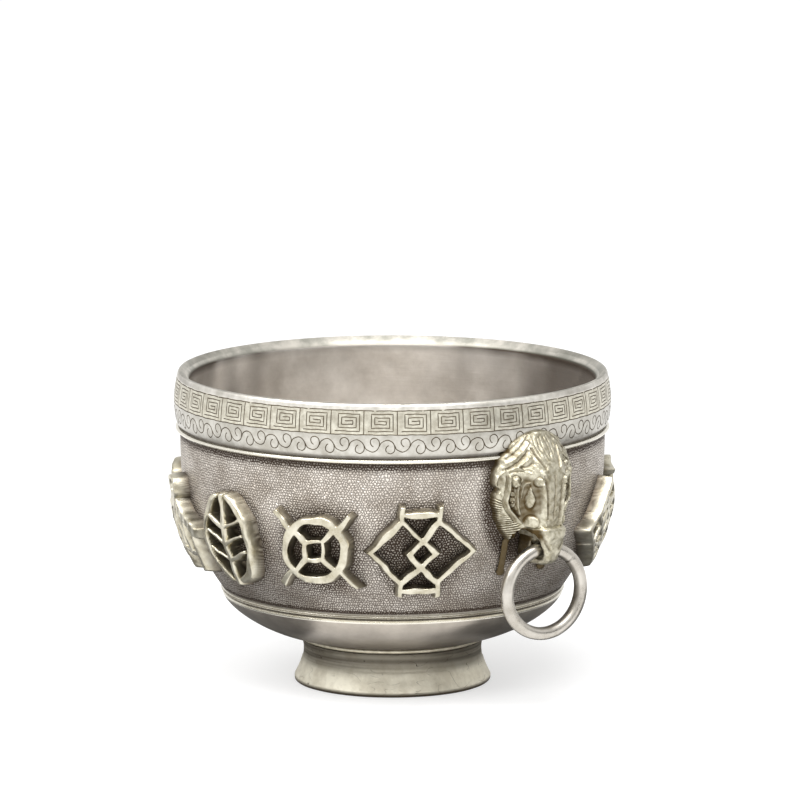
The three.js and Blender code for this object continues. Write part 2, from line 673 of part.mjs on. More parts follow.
function material(color, roughness) {
  return new THREE.MeshStandardMaterial({ color, roughness, metalness: 1 });
}

const bowl = new THREE.Group();

function add(name, geometry, color, roughness, turn = 0) {
  const mesh = new THREE.Mesh(geometry, material(color, roughness));
  mesh.name = name;
  mesh.rotation.z = turn;
  bowl.add(mesh);
}

add('bowl_shell', bowlShell(), 0x8f857c, 0.45);
add('rim_band', rimBand(), 0xc9c4b2, 0.35);
add('rim_bead', rimBead(), 0xcfcab8, 0.3);
add('lower_fillet', lowerFillet(), 0xbab3a5, 0.35);
add('foot_ring', footRing(), 0xbdb7a0, 0.35);
add('foot_collar', footCollar(), 0xcfcab8, 0.3);
for (const [name, drawing, side, step] of emblemStations) {
  add(name, emblem(drawing, side, step), 0xc9c3ae, 0.3);
}
const mask = maskOnRight();
add('mask_right', mask, 0xb5ad97, 0.35);
add('mask_left', mask.clone(), 0xb5ad97, 0.35, Math.PI);
add('ring_right', looseRing(-RING_TWIST), 0xb9b0a8, 0.3);
add('ring_left', looseRing(RING_TWIST / 2), 0xb9b0a8, 0.3, Math.PI);

export default bowl;
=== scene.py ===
"""Looks of a footed white-metal bowl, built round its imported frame.

Lengths are millimetres in the classes and metres in the meshes. The bowl stands on z = 0, its
two masks lie on the X axis, and the rim band carries a key fret over a running scroll.
"""

import logging
import math
from dataclasses import dataclass, field
from enum import Enum
from typing import Callable, Sequence

import bmesh
import bpy
import numpy as np
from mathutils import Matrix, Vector


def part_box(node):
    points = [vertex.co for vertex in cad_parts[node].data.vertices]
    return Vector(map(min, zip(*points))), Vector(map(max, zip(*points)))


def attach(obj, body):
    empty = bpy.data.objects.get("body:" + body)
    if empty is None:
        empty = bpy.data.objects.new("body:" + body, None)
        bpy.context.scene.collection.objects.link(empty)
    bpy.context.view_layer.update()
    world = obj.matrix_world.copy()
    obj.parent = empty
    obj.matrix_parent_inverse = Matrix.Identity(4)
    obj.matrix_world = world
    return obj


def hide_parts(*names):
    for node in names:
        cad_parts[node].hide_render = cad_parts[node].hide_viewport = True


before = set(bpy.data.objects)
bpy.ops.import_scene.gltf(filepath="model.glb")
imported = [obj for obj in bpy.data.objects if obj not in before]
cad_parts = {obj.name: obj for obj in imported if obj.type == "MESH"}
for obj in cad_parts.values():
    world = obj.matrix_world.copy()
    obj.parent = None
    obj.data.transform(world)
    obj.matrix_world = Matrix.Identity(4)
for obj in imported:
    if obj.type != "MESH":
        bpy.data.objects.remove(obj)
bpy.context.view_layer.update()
log = logging.getLogger("bowl")

MM = 0.001
TAU = 2.0 * math.pi
# Angle about the axis that places the painted shade inside the bowl and on the lip.
PAINTED_SHADE_ANGLE = math.radians(48.0)
HARD_CORNER = math.radians(38.0)
ROUND_STEM = 20.0
WAVES = ((3.0, 0.4, 0.05), (7.0, 2.0, 0.035), (17.0, 0.0, 0.02))
MERGE_DISTANCE = 1e-7


def node_box(name: str) -> np.ndarray:
    """Corners of a CAD node in millimetres.

    Args:
        name: The node's name.

    Returns:
        A 2 by 3 array, lowest corner first.
    """
    return np.array([list(corner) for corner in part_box(name)]) / MM


def linear(hex_colour: str) -> tuple[float, float, float, float]:
    """Turns an sRGB hex colour into linear RGBA.

    Args:
        hex_colour: Six hex digits with a leading hash.

    Returns:
        Linear red, green, blue and an alpha of one.
    """
    srgb = np.array([int(hex_colour[i:i + 2], 16) for i in (1, 3, 5)]) / 255.0
    rgb = np.where(srgb <= 0.04045, srgb / 12.92, ((srgb + 0.055) / 1.055) ** 2.4)
    return (float(rgb[0]), float(rgb[1]), float(rgb[2]), 1.0)


def smoothstep(value: np.ndarray, low: float, high: float) -> np.ndarray:
    """Rises smoothly from nought at low to one at high.

    Args:
        value: Where to read it.
        low: The value that gives nought.
        high: The value that gives one.

    Returns:
        The cubic 3t^2 - 2t^3 of the clipped share.
    """
    share = np.clip((value - low) / (high - low), 0.0, 1.0)
    return share * share * (3.0 - 2.0 * share)


def bump(value: np.ndarray, centre: float, spread: float) -> np.ndarray:
    """A bell curve exp(-((value - centre) / spread)^2)."""
    return np.exp(-(((value - centre) / spread) ** 2))


def bezier(corners: Sequence[tuple[float, float]], steps: int) -> np.ndarray:
    """Points along a Bezier curve of any degree, by its Bernstein sum.

    Args:
        corners: Control points as (radius, height).
        steps: Number of points.

    Returns:
        A steps by 2 array.
    """
    t = np.linspace(0.0, 1.0, steps)[:, None]
    degree = len(corners) - 1
    line = np.zeros((steps, 2))
    for k, corner in enumerate(corners):
        line = line + math.comb(degree, k) * t**k * (1.0 - t) ** (degree - k) * np.array(corner)
    return line


def through(knots: Sequence[tuple[float, float]], steps: int) -> np.ndarray:
    """Points along a smooth line through all the knots, a Catmull-Rom spline.

    Args:
        knots: The points that the line passes.
        steps: Number of points from one knot to the next.

    Returns:
        An n by 2 array.
    """
    line = np.array(knots)
    padded = np.vstack([2.0 * line[0] - line[1], line, 2.0 * line[-1] - line[-2]])
    a, b, c, d = (padded[k:len(line) - 1 + k][:, None, :] for k in range(4))
    t = np.arange(steps)[:, None] / steps
    arcs = b + 0.5 * ((c - a) * t + (2.0 * a - 5.0 * b + 4.0 * c - d) * t**2 + (3.0 * (b - c) + d - a) * t**3)
    return np.vstack([arcs.reshape(-1, 2), line[-1:]])


def polar(spots: np.ndarray) -> tuple[np.ndarray, np.ndarray, np.ndarray]:
    """Radius and angle about the bowl's axis, and height, of spots given n by 3."""
    return np.hypot(spots[:, 0], spots[:, 1]), np.arctan2(spots[:, 1], spots[:, 0]), spots[:, 2]


def from_polar(radius: np.ndarray, angle: np.ndarray, height: np.ndarray) -> np.ndarray:
    """Spots, n by 3, from radii and angles about the bowl's axis and heights."""
    radius, angle, height = np.broadcast_arrays(radius, angle, height)
    return np.stack([radius * np.cos(angle), radius * np.sin(angle), height], axis=-1).reshape(-1, 3)


def turn_from(angle: np.ndarray, start: float) -> np.ndarray:
    """Angle from the start, the short way round."""
    return np.angle(np.exp(1j * (angle - start)))


def mesh_object(name: str, points: np.ndarray, faces: np.ndarray) -> bpy.types.Object:
    """Makes a smooth closed mesh object that faces outwards.

    Args:
        name: The object's name.
        points: Vertices in millimetres, n by 3.
        faces: Quads as vertex numbers, m by 4.

    Returns:
        The object, at the origin, with its place in its mesh.
    """
    mesh = bpy.data.meshes.new(name)
    mesh.from_pydata((points * MM).tolist(), [], faces.tolist())
    work = bmesh.new()
    work.from_mesh(mesh)
    bmesh.ops.remove_doubles(work, verts=work.verts, dist=MERGE_DISTANCE)
    bmesh.ops.dissolve_degenerate(work, dist=1e-8, edges=work.edges)
    if work.calc_volume(signed=True) < 0.0:
        bmesh.ops.reverse_faces(work, faces=work.faces)
    work.to_mesh(mesh)
    work.free()
    mesh.shade_smooth()
    piece = bpy.data.objects.new(name, mesh)
    bpy.context.scene.collection.objects.link(piece)
    return piece


def grid_faces(rows: int, columns: int, close_rows: bool, close_columns: bool) -> np.ndarray:
    """Quads of a grid whose vertices are numbered row by row.

    Args:
        rows: Number of rows of vertices.
        columns: Number of vertices in a row.
        close_rows: Whether the last row joins the first.
        close_columns: Whether each row's last vertex joins its first.

    Returns:
        An m by 4 array of vertex numbers.
    """
    i = np.arange(rows if close_rows else rows - 1)[:, None]
    j = np.arange(columns if close_columns else columns - 1)[None, :]
    below, above = i * columns, ((i + 1) % rows) * columns
    right = (j + 1) % columns
    return np.stack([below + j, below + right, above + right, above + j], axis=-1).reshape(-1, 4)


def set_attribute(piece: bpy.types.Object, name: str, values: np.ndarray) -> None:
    """Stores one number per vertex on a mesh.

    Args:
        piece: The mesh object.
        name: The attribute's name.
        values: One value for each vertex.
    """
    layer = piece.data.attributes.new(name, "FLOAT", "POINT")
    layer.data.foreach_set("value", values.astype(np.float32))


def vertices_of(piece: bpy.types.Object) -> np.ndarray:
    """Vertices of a mesh object in millimetres, n by 3."""
    flat = np.empty(len(piece.data.vertices) * 3)
    piece.data.vertices.foreach_get("co", flat)
    return flat.reshape(-1, 3) / MM


def out_of_round(angle: np.ndarray) -> np.ndarray:
    """How far hand raising left the bowl off a true circle, in millimetres: a sum of slow waves."""
    return sum(rise * np.sin(count * angle + phase) for count, phase, rise in WAVES)


def lathe(name: str, profile: np.ndarray, turns: int = 384) -> bpy.types.Object:
    """Turns a closed (radius, height) outline about the bowl's axis, a little out of round.

    Args:
        name: The object's name.
        profile: Outline points, n by 2; it closes on itself, or starts and ends on the axis.
        turns: Number of steps round the axis.

    Returns:
        The turned object, its hard corners shaded sharp.
    """
    angle = np.arange(turns) * TAU / turns
    radius, height = profile[:, :1], profile[:, 1:]
    radius = radius + out_of_round(angle) * np.clip(radius / ROUND_STEM, 0.0, 1.0)
    faces = grid_faces(len(profile), turns, profile[0, 0] > 0.0, True)
    piece = mesh_object(name, from_polar(radius, angle, height), faces)
    piece.data.set_sharp_from_angle(angle=HARD_CORNER)
    return piece


def face_middles(piece: bpy.types.Object) -> np.ndarray:
    """Middle of each face in millimetres, n by 3."""
    flat = np.empty(len(piece.data.polygons) * 3)
    piece.data.polygons.foreach_get("center", flat)
    return flat.reshape(-1, 3) / MM


def dress_zone(piece: bpy.types.Object, finish: "WhiteMetal", zone: np.ndarray) -> None:
    """Gives some faces of a piece a second finish.

    Args:
        piece: The piece, already dressed in its main finish.
        finish: The finish for the zone.
        zone: One truth value for each face.
    """
    piece.data.materials.append(bpy.data.materials.get(finish.name) or finish.build())
    slots = np.zeros(len(piece.data.polygons), dtype=np.int32)
    piece.data.polygons.foreach_get("material_index", slots)
    slots[zone] = len(piece.data.materials) - 1
    piece.data.polygons.foreach_set("material_index", slots)


def path_distance(path: np.ndarray, x: np.ndarray, y: np.ndarray) -> np.ndarray:
    """Distance from each spot to a broken line, the least over its straight parts.

    Args:
        path: The line's points, n by 2.
        x: Spots' first coordinates.
        y: Spots' second coordinates.

    Returns:
        One distance for each spot.
    """
    nearest = np.full(np.shape(x), 1e9)
    for a, b in zip(path[:-1], path[1:]):
        along = b - a
        share = np.clip(((x - a[0]) * along[0] + (y - a[1]) * along[1]) / (along @ along), 0.0, 1.0)
        nearest = np.minimum(nearest, np.hypot(x - a[0] - share * along[0], y - a[1] - share * along[1]))
    return nearest


def raised_patch(name: str, turns: Sequence[np.ndarray], radii: Sequence[np.ndarray],
                 heights: np.ndarray) -> bpy.types.Object:
    """Closes a raised surface with a back: two layers of one grid, joined round their edges.

    Args:
        name: The object's name.
        turns: Angles about the bowl's axis of the front's and the back's spots.
        radii: Their radii.
        heights: Their heights, the same for both.

    Returns:
        The closed object.
    """
    layers = [from_polar(radius, turn, heights) for turn, radius in zip(turns, radii)]
    rows, columns = heights.shape
    face = grid_faces(rows, columns, False, False)
    count = rows * columns
    number = np.arange(count).reshape(rows, columns)
    border = np.concatenate([number[0, :-1], number[:-1, -1], number[-1, :0:-1], number[:0:-1, 0]])
    after = np.roll(border, -1)
    sides = np.stack([border, border + count, after + count, after], axis=1)
    return mesh_object(name, np.vstack(layers), np.vstack([face, face[:, ::-1] + count, sides]))


class Pattern(Enum):
    """Marks that a finish carries: their share of the relief, and the dirt that they hold."""

    PLAIN = (0.0, 0.0)
    MATTED = (-1.6, 0.6)
    TURNED = (0.8, 0.0)
    HANDLED = (-1.2, 0.55)


@dataclass(frozen=True)
class WhiteMetal:
    """Cast or raised white brass, cleaned, polished and gone brown in its hollows.

    The eye sees a warm grey metal with soft, uneven reflections, fine rubbing scratches and
    brown oxide wherever polishing cloths don't reach. A per-vertex attribute lays on that oxide together with
    painted shade.
    """

    name: str
    bright: str
    dull: str
    grime_and_painted_shade: str = "#3A2E26"
    roughness: float = 0.34
    mottle_mm: float = 6.0
    relief_mm: float = 0.05
    grain_mm: float = 0.7
    pattern: Pattern = Pattern.PLAIN
    punch_mm: float = 0.7
    wall_turn_mm: float = 318.0
    row_share: float = 0.87
    stray_steps: float = 2.0
    dot_edges: tuple[float, float] = (0.2, 0.46)
    nick_width: float = 0.006
    nick_edges: tuple[float, float] = (0.52, 0.58)
    patch_edges: tuple[float, float] = (0.36, 0.64)
    mottle_relief: float = 1.6
    grain_relief: float = 0.25
    mottle_rough: float = 0.22
    darkening_rough: float = 0.25

    def build(self) -> bpy.types.Material:
        """Makes the node material.

        Returns:
            The material, which reads Object coordinates and the attribute of oxide and painted shade.
        """
        material = bpy.data.materials.new(self.name)
        material.use_nodes = True
        tree = material.node_tree
        shader = tree.nodes["Principled BSDF"]
        shader.inputs["Metallic"].default_value = 1.0
        place = add_node(tree, "TexCoord").outputs["Object"]
        mottle = add_node(tree, "TexNoise", place, named={
            "Scale": 1.0 / (self.mottle_mm * MM), "Detail": 5.0, "Roughness": 0.62}).outputs["Fac"]
        fine = add_node(tree, "TexNoise", place, named={
            "Scale": 1.0 / (self.grain_mm * MM), "Detail": 3.0}).outputs["Fac"]
        patch = add_node(tree, "MapRange", mottle, *self.patch_edges).outputs["Result"]
        body = add_node(tree, "Mix", patch, data_type="RGBA", named={
            6: linear(self.dull), 7: linear(self.bright)}).outputs[2]
        # The attribute lays on brown oxide and painted shade alike, in the darkest colour.
        darkening = add_node(tree, "Attribute", attribute_name="grime_and_painted_shade").outputs["Fac"]
        height = add_node(tree, "Math", mottle, self.mottle_relief, operation="MULTIPLY").outputs[0]
        height = add_node(tree, "Math", fine, self.grain_relief, height,
                          operation="MULTIPLY_ADD").outputs[0]
        if self.pattern is not Pattern.PLAIN:
            draw = {Pattern.MATTED: self.ring_matting, Pattern.TURNED: self.turned_lines,
                    Pattern.HANDLED: self.nicks}[self.pattern]
            marks = draw(tree, place)
            depth, held = self.pattern.value
            height = add_node(tree, "Math", marks, depth, height, operation="MULTIPLY_ADD").outputs[0]
            if held > 0.0:
                darkening = add_node(tree, "Math", marks, held, darkening, operation="MULTIPLY_ADD",
                                use_clamp=True).outputs[0]
        colour = add_node(tree, "Mix", darkening, data_type="RGBA", named={6: body, 7: linear(self.grime_and_painted_shade)})
        rough = add_node(tree, "Math", mottle, self.mottle_rough,
                         self.roughness - self.mottle_rough / 2.0, operation="MULTIPLY_ADD")
        rougher = add_node(tree, "Math", darkening, self.darkening_rough, rough.outputs[0], operation="MULTIPLY_ADD")
        raised = add_node(tree, "Bump", named={
            "Height": height, "Distance": self.relief_mm * MM, "Strength": 1.0})
        tree.links.new(colour.outputs[2], shader.inputs["Base Color"])
        tree.links.new(rougher.outputs[0], shader.inputs["Roughness"])
        tree.links.new(raised.outputs["Normal"], shader.inputs["Normal"])
        return material

    def turned_lines(self, tree: bpy.types.NodeTree, place: bpy.types.NodeSocket) -> bpy.types.NodeSocket:
        """Soft lines round the bowl: a noise squeezed in height. Arguments as for nicks."""
        squeezed = add_node(tree, "Mapping", place, named={"Scale": (1.0, 1.0, 14.0)}).outputs[0]
        return add_node(tree, "TexNoise", squeezed, named={
            "Scale": 1.0 / (9.0 * MM), "Detail": 4.0}).outputs["Fac"]

    def nicks(self, tree: bpy.types.NodeTree, place: bpy.types.NodeSocket) -> bpy.types.NodeSocket:
        """Short scratches: thin bands where a noise crosses its middle, kept only in patches.

        Args:
            tree: The material's node tree.
            place: Object coordinates.

        Returns:
            One in a scratch and nought elsewhere.
        """
        flattened = add_node(tree, "Mapping", place, named={"Scale": (1.0, 1.0, 2.8)}).outputs[0]
        winding = add_node(tree, "TexNoise", flattened, named={"Scale": 1.0 / (4.5 * MM), "Detail": 0.0})
        away = add_node(tree, "Math", winding.outputs["Fac"], 0.5, self.nick_width, operation="COMPARE")
        patches = add_node(tree, "TexNoise", place, named={"Scale": 1.0 / (2.6 * MM), "Detail": 1.0})
        kept = add_node(tree, "MapRange", patches.outputs["Fac"], *self.nick_edges)
        return add_node(tree, "Math", away.outputs[0], kept.outputs["Result"], operation="MULTIPLY").outputs[0]

    def ring_matting(self, tree: bpy.types.NodeTree, place: bpy.types.NodeSocket) -> bpy.types.NodeSocket:
        """Rows of little punched rings, each row shifted half a step from the last.

        The angle about the axis and the height give a cell, pushed about a little by a noise as
        hand punching leaves it. The distance r from the cell's middle gives the ground round
        each punch, smoothstep(r) from its rim outwards, so that a bright dot stands in a dark net.

        Args:
            tree: The material's node tree.
            place: Object coordinates.

        Returns:
            One in the ground between the punched dots and nought on them.
        """
        x, y, z = add_node(tree, "SeparateXYZ", place).outputs
        noise = add_node(tree, "TexNoise", place, named={"Scale": 1.0 / (1.3 * MM)}).outputs["Color"]
        sideways, upwards = add_node(tree, "SeparateColor", noise).outputs[:2]
        count = round(self.wall_turn_mm / self.punch_mm)
        known: dict[object, object] = {"x": x, "y": y, "z": z, "sideways": sideways, "upwards": upwards}
        for name, operation, *terms in (
                ("turn", "ARCTAN2", "y", "x"), ("stray", "MULTIPLY", "sideways", self.stray_steps),
                ("column", "MULTIPLY_ADD", "turn", count / TAU, "stray"),
                ("level", "DIVIDE", "z", self.row_share * self.punch_mm * MM),
                ("stray", "MULTIPLY", "upwards", self.stray_steps), ("up", "ADD", "level", "stray"),
                ("row", "FLOOR", "up"), ("odd", "FLOORED_MODULO", "row", 2.0),
                ("shift", "MULTIPLY", "odd", 0.5), ("along", "ADD", "column", "shift"),
                ("along", "FRACT", "along"), ("across", "SUBTRACT", "along", 0.5),
                ("up", "FRACT", "up"), ("rise", "SUBTRACT", "up", 0.5),
                ("square", "MULTIPLY", "rise", "rise"),
                ("square", "MULTIPLY_ADD", "across", "across", "square"), ("distance", "SQRT", "square")):
            sockets = [known.get(term, term) for term in terms]
            known[name] = add_node(tree, "Math", *sockets, operation=operation).outputs[0]
        return add_node(tree, "MapRange", known["distance"], *self.dot_edges,
                        interpolation_type="SMOOTHSTEP").outputs["Result"]


def add_node(tree: bpy.types.NodeTree, kind: str, *values: object,
             named: dict[object, object] | None = None, **settings: object) -> bpy.types.Node:
    """Adds a node with its settings, values and links.

    Args:
        tree: The node tree.
        kind: The node's type without the ShaderNode in front.
        values: Values for its first sockets in order, or output sockets to link them from.
        named: The same for sockets told by name or number.
        settings: Properties to set on the node.

    Returns:
        The new node.
    """
    new = tree.nodes.new(f"ShaderNode{kind}")
    for key, value in settings.items():
        setattr(new, key, value)
    for key, value in [*enumerate(values), *(named or {}).items()]:
        if isinstance(value, bpy.types.NodeSocket):
            tree.links.new(value, new.inputs[key])
        else:
            new.inputs[key].default_value = value
    return new


# The wall's sparkle: bright punched dots in a dark net that keeps old polish.
MATTED_WALL = WhiteMetal("white_brass_ring_matted", "#EBE4DB", "#BDB4A9", grime_and_painted_shade="#4A4038",
                         roughness=0.4, mottle_mm=9.0, relief_mm=0.07, pattern=Pattern.MATTED)
# Handled metal, greyer and smoother than the wall, with faint lines from the lathe.
LOWER_BODY = WhiteMetal("white_brass_smooth_body", "#BDB5AA", "#A39B91", grime_and_painted_shade="#4A413A",
                        roughness=0.34, mottle_mm=10.0, relief_mm=0.04, pattern=Pattern.TURNED)
# The scoured inside: pale and satin, so that the mouth reads as an open, lit hollow.
INTERIOR = WhiteMetal("white_brass_scoured_inside", "#F2EDE6", "#D6D0C8", grime_and_painted_shade="#50473F",
                      roughness=0.42, mottle_mm=11.0, relief_mm=0.05, pattern=Pattern.TURNED)
# The scroll's ground: flat grey that lets the cut lines show.
ENGRAVED_BAND = WhiteMetal("white_brass_engraved", "#CBC8C0", "#ABA79D", roughness=0.32, mottle_mm=3.0)
# The lip's edge, rubbed bright by hands and cloths.
LIP = WhiteMetal("white_brass_worn_lip", "#EFEBE3", "#D0CCC1", roughness=0.34, mottle_mm=3.0)
# The flat and bevel of the rim: a darker copy of the lip's metal, painted shade that gives the mouth a dark
# outline.
RIM_TOP = WhiteMetal("white_brass_rim_painted_shade", "#CCC7BD", "#A3A197", grime_and_painted_shade="#55534A", roughness=0.38,
                     mottle_mm=4.5)
# The fret's ground: lighter and more mottled than the scroll's, as its cells are cut closer.
FRET_GROUND = WhiteMetal("white_brass_fret_ground", "#DEDACB", "#BCB6A6", roughness=0.36, mottle_mm=1.4)
# Polished half-rounds: sharp bright lines between the duller zones.
MOULDING = WhiteMetal("white_brass_polished", "#EAE6DA", "#DAD5C7", roughness=0.26, mottle_mm=4.0,
                      relief_mm=0.02)
# The collar on the foot: the same metal gone rough, so that it catches a broad soft light.
WORN_COLLAR = WhiteMetal("white_brass_worn_collar", "#E8E2CF", "#C4BDA8", grime_and_painted_shade="#4E463B", roughness=0.58,
                         mottle_mm=2.4, relief_mm=0.08)
# The foot, where the bowl is lifted: warm, dull, and full of short nicks.
FOOT = WhiteMetal("white_brass_handled_foot", "#E7E2D1", "#CAC3B0", grime_and_painted_shade="#4E463B", roughness=0.52,
                  mottle_mm=4.0, pattern=Pattern.HANDLED)
# Cast emblems: warmer than the wall, with brown patina and painted shade where they meet it.
EMBLEM = WhiteMetal("white_brass_cast_relief", "#D6D1C0", "#B3AC97", grime_and_painted_shade="#3E3128", roughness=0.3,
                    mottle_mm=3.0, relief_mm=0.07)
# Cast and chased masks: pitted all over, dark brown in the hollows with patina and painted shade, and pale on
# the high parts.
MASK = WhiteMetal("white_brass_chased_mask", "#D4CFBC", "#9C957F", grime_and_painted_shade="#58492F", roughness=0.37,
                  mottle_mm=1.3, relief_mm=0.12, grain_mm=0.3)
# Drawn wire worn by swinging: the smoothest of the plain metals, with long highlights.
RING = WhiteMetal("white_brass_drawn_wire", "#CEC9C0", "#ABA59B", grime_and_painted_shade="#4C453A", roughness=0.28,
                  mottle_mm=7.0, relief_mm=0.05, grain_mm=1.2)
# The bottoms of the cut lines: black-brown, so that the thin pattern carries at a distance.
ENGRAVING = WhiteMetal("white_brass_engraved_line", "#776E5B", "#544B3E", grime_and_painted_shade="#3F352B",
                       roughness=0.5, mottle_mm=3.0)


def finish_piece(piece: bpy.types.Object, finish: WhiteMetal, body: str, slot: str,
                 *nodes: str) -> bpy.types.Object:
    """Dresses a piece and ties it to the frame.

    Args:
        piece: The finished object.
        finish: Its metal.
        body: The CAD body that it rides on.
        slot: The record's material slot; not used.
        nodes: CAD nodes that it stands for.

    Returns:
        The same object.
    """
    material = bpy.data.materials.get(finish.name) or finish.build()
    piece.data.materials.clear()
    piece.data.materials.append(material)
    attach(piece, body)
    if nodes:
        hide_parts(*nodes)
    log.info("%s: %d faces on %s", piece.name, len(piece.data.polygons), body)
    return piece


@dataclass
class Wall:
    """The bowl's outer line, from the stem to the rim band, as the CAD solids have it."""

    shell: np.ndarray = field(default_factory=lambda: node_box("bowl_shell"))
    fillet: np.ndarray = field(default_factory=lambda: node_box("lower_fillet"))
    seat_gap: float = 0.3
    ridge: float = 0.5
    thickness: float = 2.35
    stem_radius: float = 22.0
    belly_height: float = 34.4
    seat_depth: float = 1.0

    @property
    def wall_radius(self) -> float:
        """Radius of the straight part of the wall."""
        return float(self.shell[1, 0])

    @property
    def body_radius(self) -> float:
        """Radius of the lower body where it meets the moulding."""
        return float(self.fillet[1, 0]) - self.ridge

    @property
    def fillet_base(self) -> float:
        """Height of the moulding's seat."""
        return float(self.fillet[0, 2]) - self.seat_gap

    @property
    def wall_base(self) -> float:
        """Height at which the matted wall starts."""
        return float(self.fillet[1, 2]) + self.seat_gap

    @property
    def top(self) -> float:
        """Height at which the rim band starts."""
        return float(self.shell[1, 2])

    def lower_line(self, steps: int = 60) -> np.ndarray:
        """The smooth lower body, a cubic Bezier from the stem out to the moulding."""
        return self.stretch((self.stem_radius, float(self.shell[0, 2])),
                            (self.body_radius, self.fillet_base), (0.38, 0.08), (0.87, 0.57), steps)

    def upper_line(self, steps: int = 90) -> np.ndarray:
        """The matted wall's curve, a cubic Bezier that ends upright."""
        return self.stretch((self.body_radius + self.ridge, self.wall_base),
                            (self.wall_radius, self.wall_base + self.belly_height),
                            (0.42, 0.17), (0.985, 0.42), steps)

    @staticmethod
    def stretch(start: tuple[float, float], end: tuple[float, float], first: tuple[float, float],
                last: tuple[float, float], steps: int) -> np.ndarray:
        """Cubic Bezier whose handles are shares of its width and height.

        Args:
            start: First point.
            end: Last point.
            first: Shares that place the first handle.
            last: Shares that place the last handle.
            steps: Number of points.

        Returns:
            A steps by 2 array of (radius, height).
        """
        a, b = np.array(start), np.array(end)
        return bezier([start, tuple(a + (b - a) * first), tuple(a + (b - a) * last), end], steps)

    def radius_at(self, height: np.ndarray) -> np.ndarray:
        """Outer radius of the wall at each height, read along its line."""
        line = np.vstack([self.lower_line(), self.upper_line(), [self.wall_radius, self.top]])
        return np.interp(height, line[:, 1], line[:, 0])

    def inset(self, line: np.ndarray) -> np.ndarray:
        """The line moved inwards by the shell's thickness, along its normals."""
        along = np.gradient(line, axis=0)
        along = along / np.linalg.norm(along, axis=1, keepdims=True)
        return line + self.thickness * np.stack([-along[:, 1], along[:, 0]], axis=1)


def inside_painted_shade(angle: np.ndarray, height: np.ndarray) -> np.ndarray:
    """Painted shade inside the bowl at two opposite places, streaked like tarnish.

    Args:
        angle: Angle about the axis.
        height: Height.

    Returns:
        How much painted shade lies there, up to about one.
    """
    facing = np.cos(angle - PAINTED_SHADE_ANGLE) + 0.08 * np.sin(9.0 * angle + 0.2 * height)
    facing = facing + 0.04 * np.sin(31.0 * angle)
    spots = 0.85 * smoothstep(facing, 0.1, 0.9) + 0.6 * smoothstep(-facing, 0.65, 0.95)
    return spots * smoothstep(height, 34.0, 54.0)


@dataclass
class Shell:
    """The raised bowl: smooth below, ring-matted above, satin inside."""

    wall: Wall
    emblem_places: list[tuple[float, float]] = field(default_factory=list)
    emblem_reach: float = 10.5
    mask_middle: float = 52.0
    mask_reach: float = 14.0

    def outline(self) -> np.ndarray:
        """The shell's closed half outline, from the axis out, up, in and back."""
        wall = self.wall
        seat = wall.body_radius - wall.seat_depth
        lower, upper = wall.lower_line(), wall.upper_line()
        mouth = wall.wall_radius - wall.thickness
        inner_wall = wall.inset(upper)[::-1]
        inner_wall[0, 0] = mouth
        inner_body = wall.inset(lower)[14:-4][::-1]
        floor = inner_body[-1, 1]
        straight = np.linspace(upper[-1, 1], wall.top, 8)[1:]
        return np.vstack([
            [[0.0, lower[0, 1]], [wall.stem_radius * 0.5, lower[0, 1]]], lower,
            [[seat, wall.fillet_base], [seat, wall.wall_base]], upper,
            np.stack([np.full_like(straight, wall.wall_radius), straight], axis=1),
            [[mouth, wall.top]], inner_wall, inner_body,
            [[inner_body[-1, 0] * 0.5, floor], [0.0, floor]]])

    def make(self) -> bpy.types.Object:
        """Builds and dresses the shell.

        Returns:
            The shell's object, with its oxide and painted shade as an attribute and a finish for each zone.
        """
        piece = lathe("bowl_shell_finished", self.outline())
        spots = vertices_of(piece)
        radius, angle, height = polar(spots)
        outside = radius > self.wall.radius_at(height) - 0.4
        matted = outside & (height > self.wall.wall_base + 0.05)
        # Painted shade under the rim band, and a dark joint with painted shade where the wall meets the
        # moulding.
        grime_and_painted_shade = 0.8 * bump(height, self.wall.top - 1.5, 1.2)
        grime_and_painted_shade = grime_and_painted_shade + 0.8 * bump(height, self.wall.wall_base + 0.1, 0.6)
        # Painted shadow round each emblem.
        for place, middle in self.emblem_places:
            away = np.hypot(turn_from(angle, place) * radius, height - middle)
            grime_and_painted_shade = grime_and_painted_shade + 0.5 * (1.0 - smoothstep(away, 0.55 * self.emblem_reach, 1.3 * self.emblem_reach))
        # Painted shadow beside each mask.
        beside = np.hypot(np.abs(spots[:, 1]) / 0.8, height - self.mask_middle)
        grime_and_painted_shade = grime_and_painted_shade + 0.7 * (1.0 - smoothstep(beside, self.mask_reach, 1.35 * self.mask_reach))
        # The matted wall darker towards its bottom.
        grime_and_painted_shade = grime_and_painted_shade + 0.22 * (1.0 - smoothstep(height, self.wall.wall_base, 46.0))
        grime_and_painted_shade = np.where(matted, grime_and_painted_shade, 0.0)
        # Painted reflection of a shaded floor: the lower body darker towards the stem.
        lower = outside & (height < self.wall.fillet_base)
        grime_and_painted_shade = grime_and_painted_shade + np.where(lower, 0.7 * (1.0 - smoothstep(height, 11.5, 19.0)), 0.0)
        # Inside, painted shade at two places, and darker towards the bowl's floor.
        floor = 0.1 * (1.0 - smoothstep(height, 16.0, 44.0))
        grime_and_painted_shade = grime_and_painted_shade + np.where(outside, 0.0, inside_painted_shade(angle, height) + floor)
        set_attribute(piece, "grime_and_painted_shade", np.clip(grime_and_painted_shade, 0.0, 1.0))
        finish_piece(piece, MATTED_WALL, "bowl", "matted_wall", "bowl_shell")
        radius, _, height = polar(face_middles(piece))
        inside = radius < self.wall.radius_at(height) - 0.6
        dress_zone(piece, LOWER_BODY, (height < self.wall.wall_base) & ~inside)
        dress_zone(piece, INTERIOR, inside & (height > self.wall.shell[0, 2] + 0.5))
        return piece


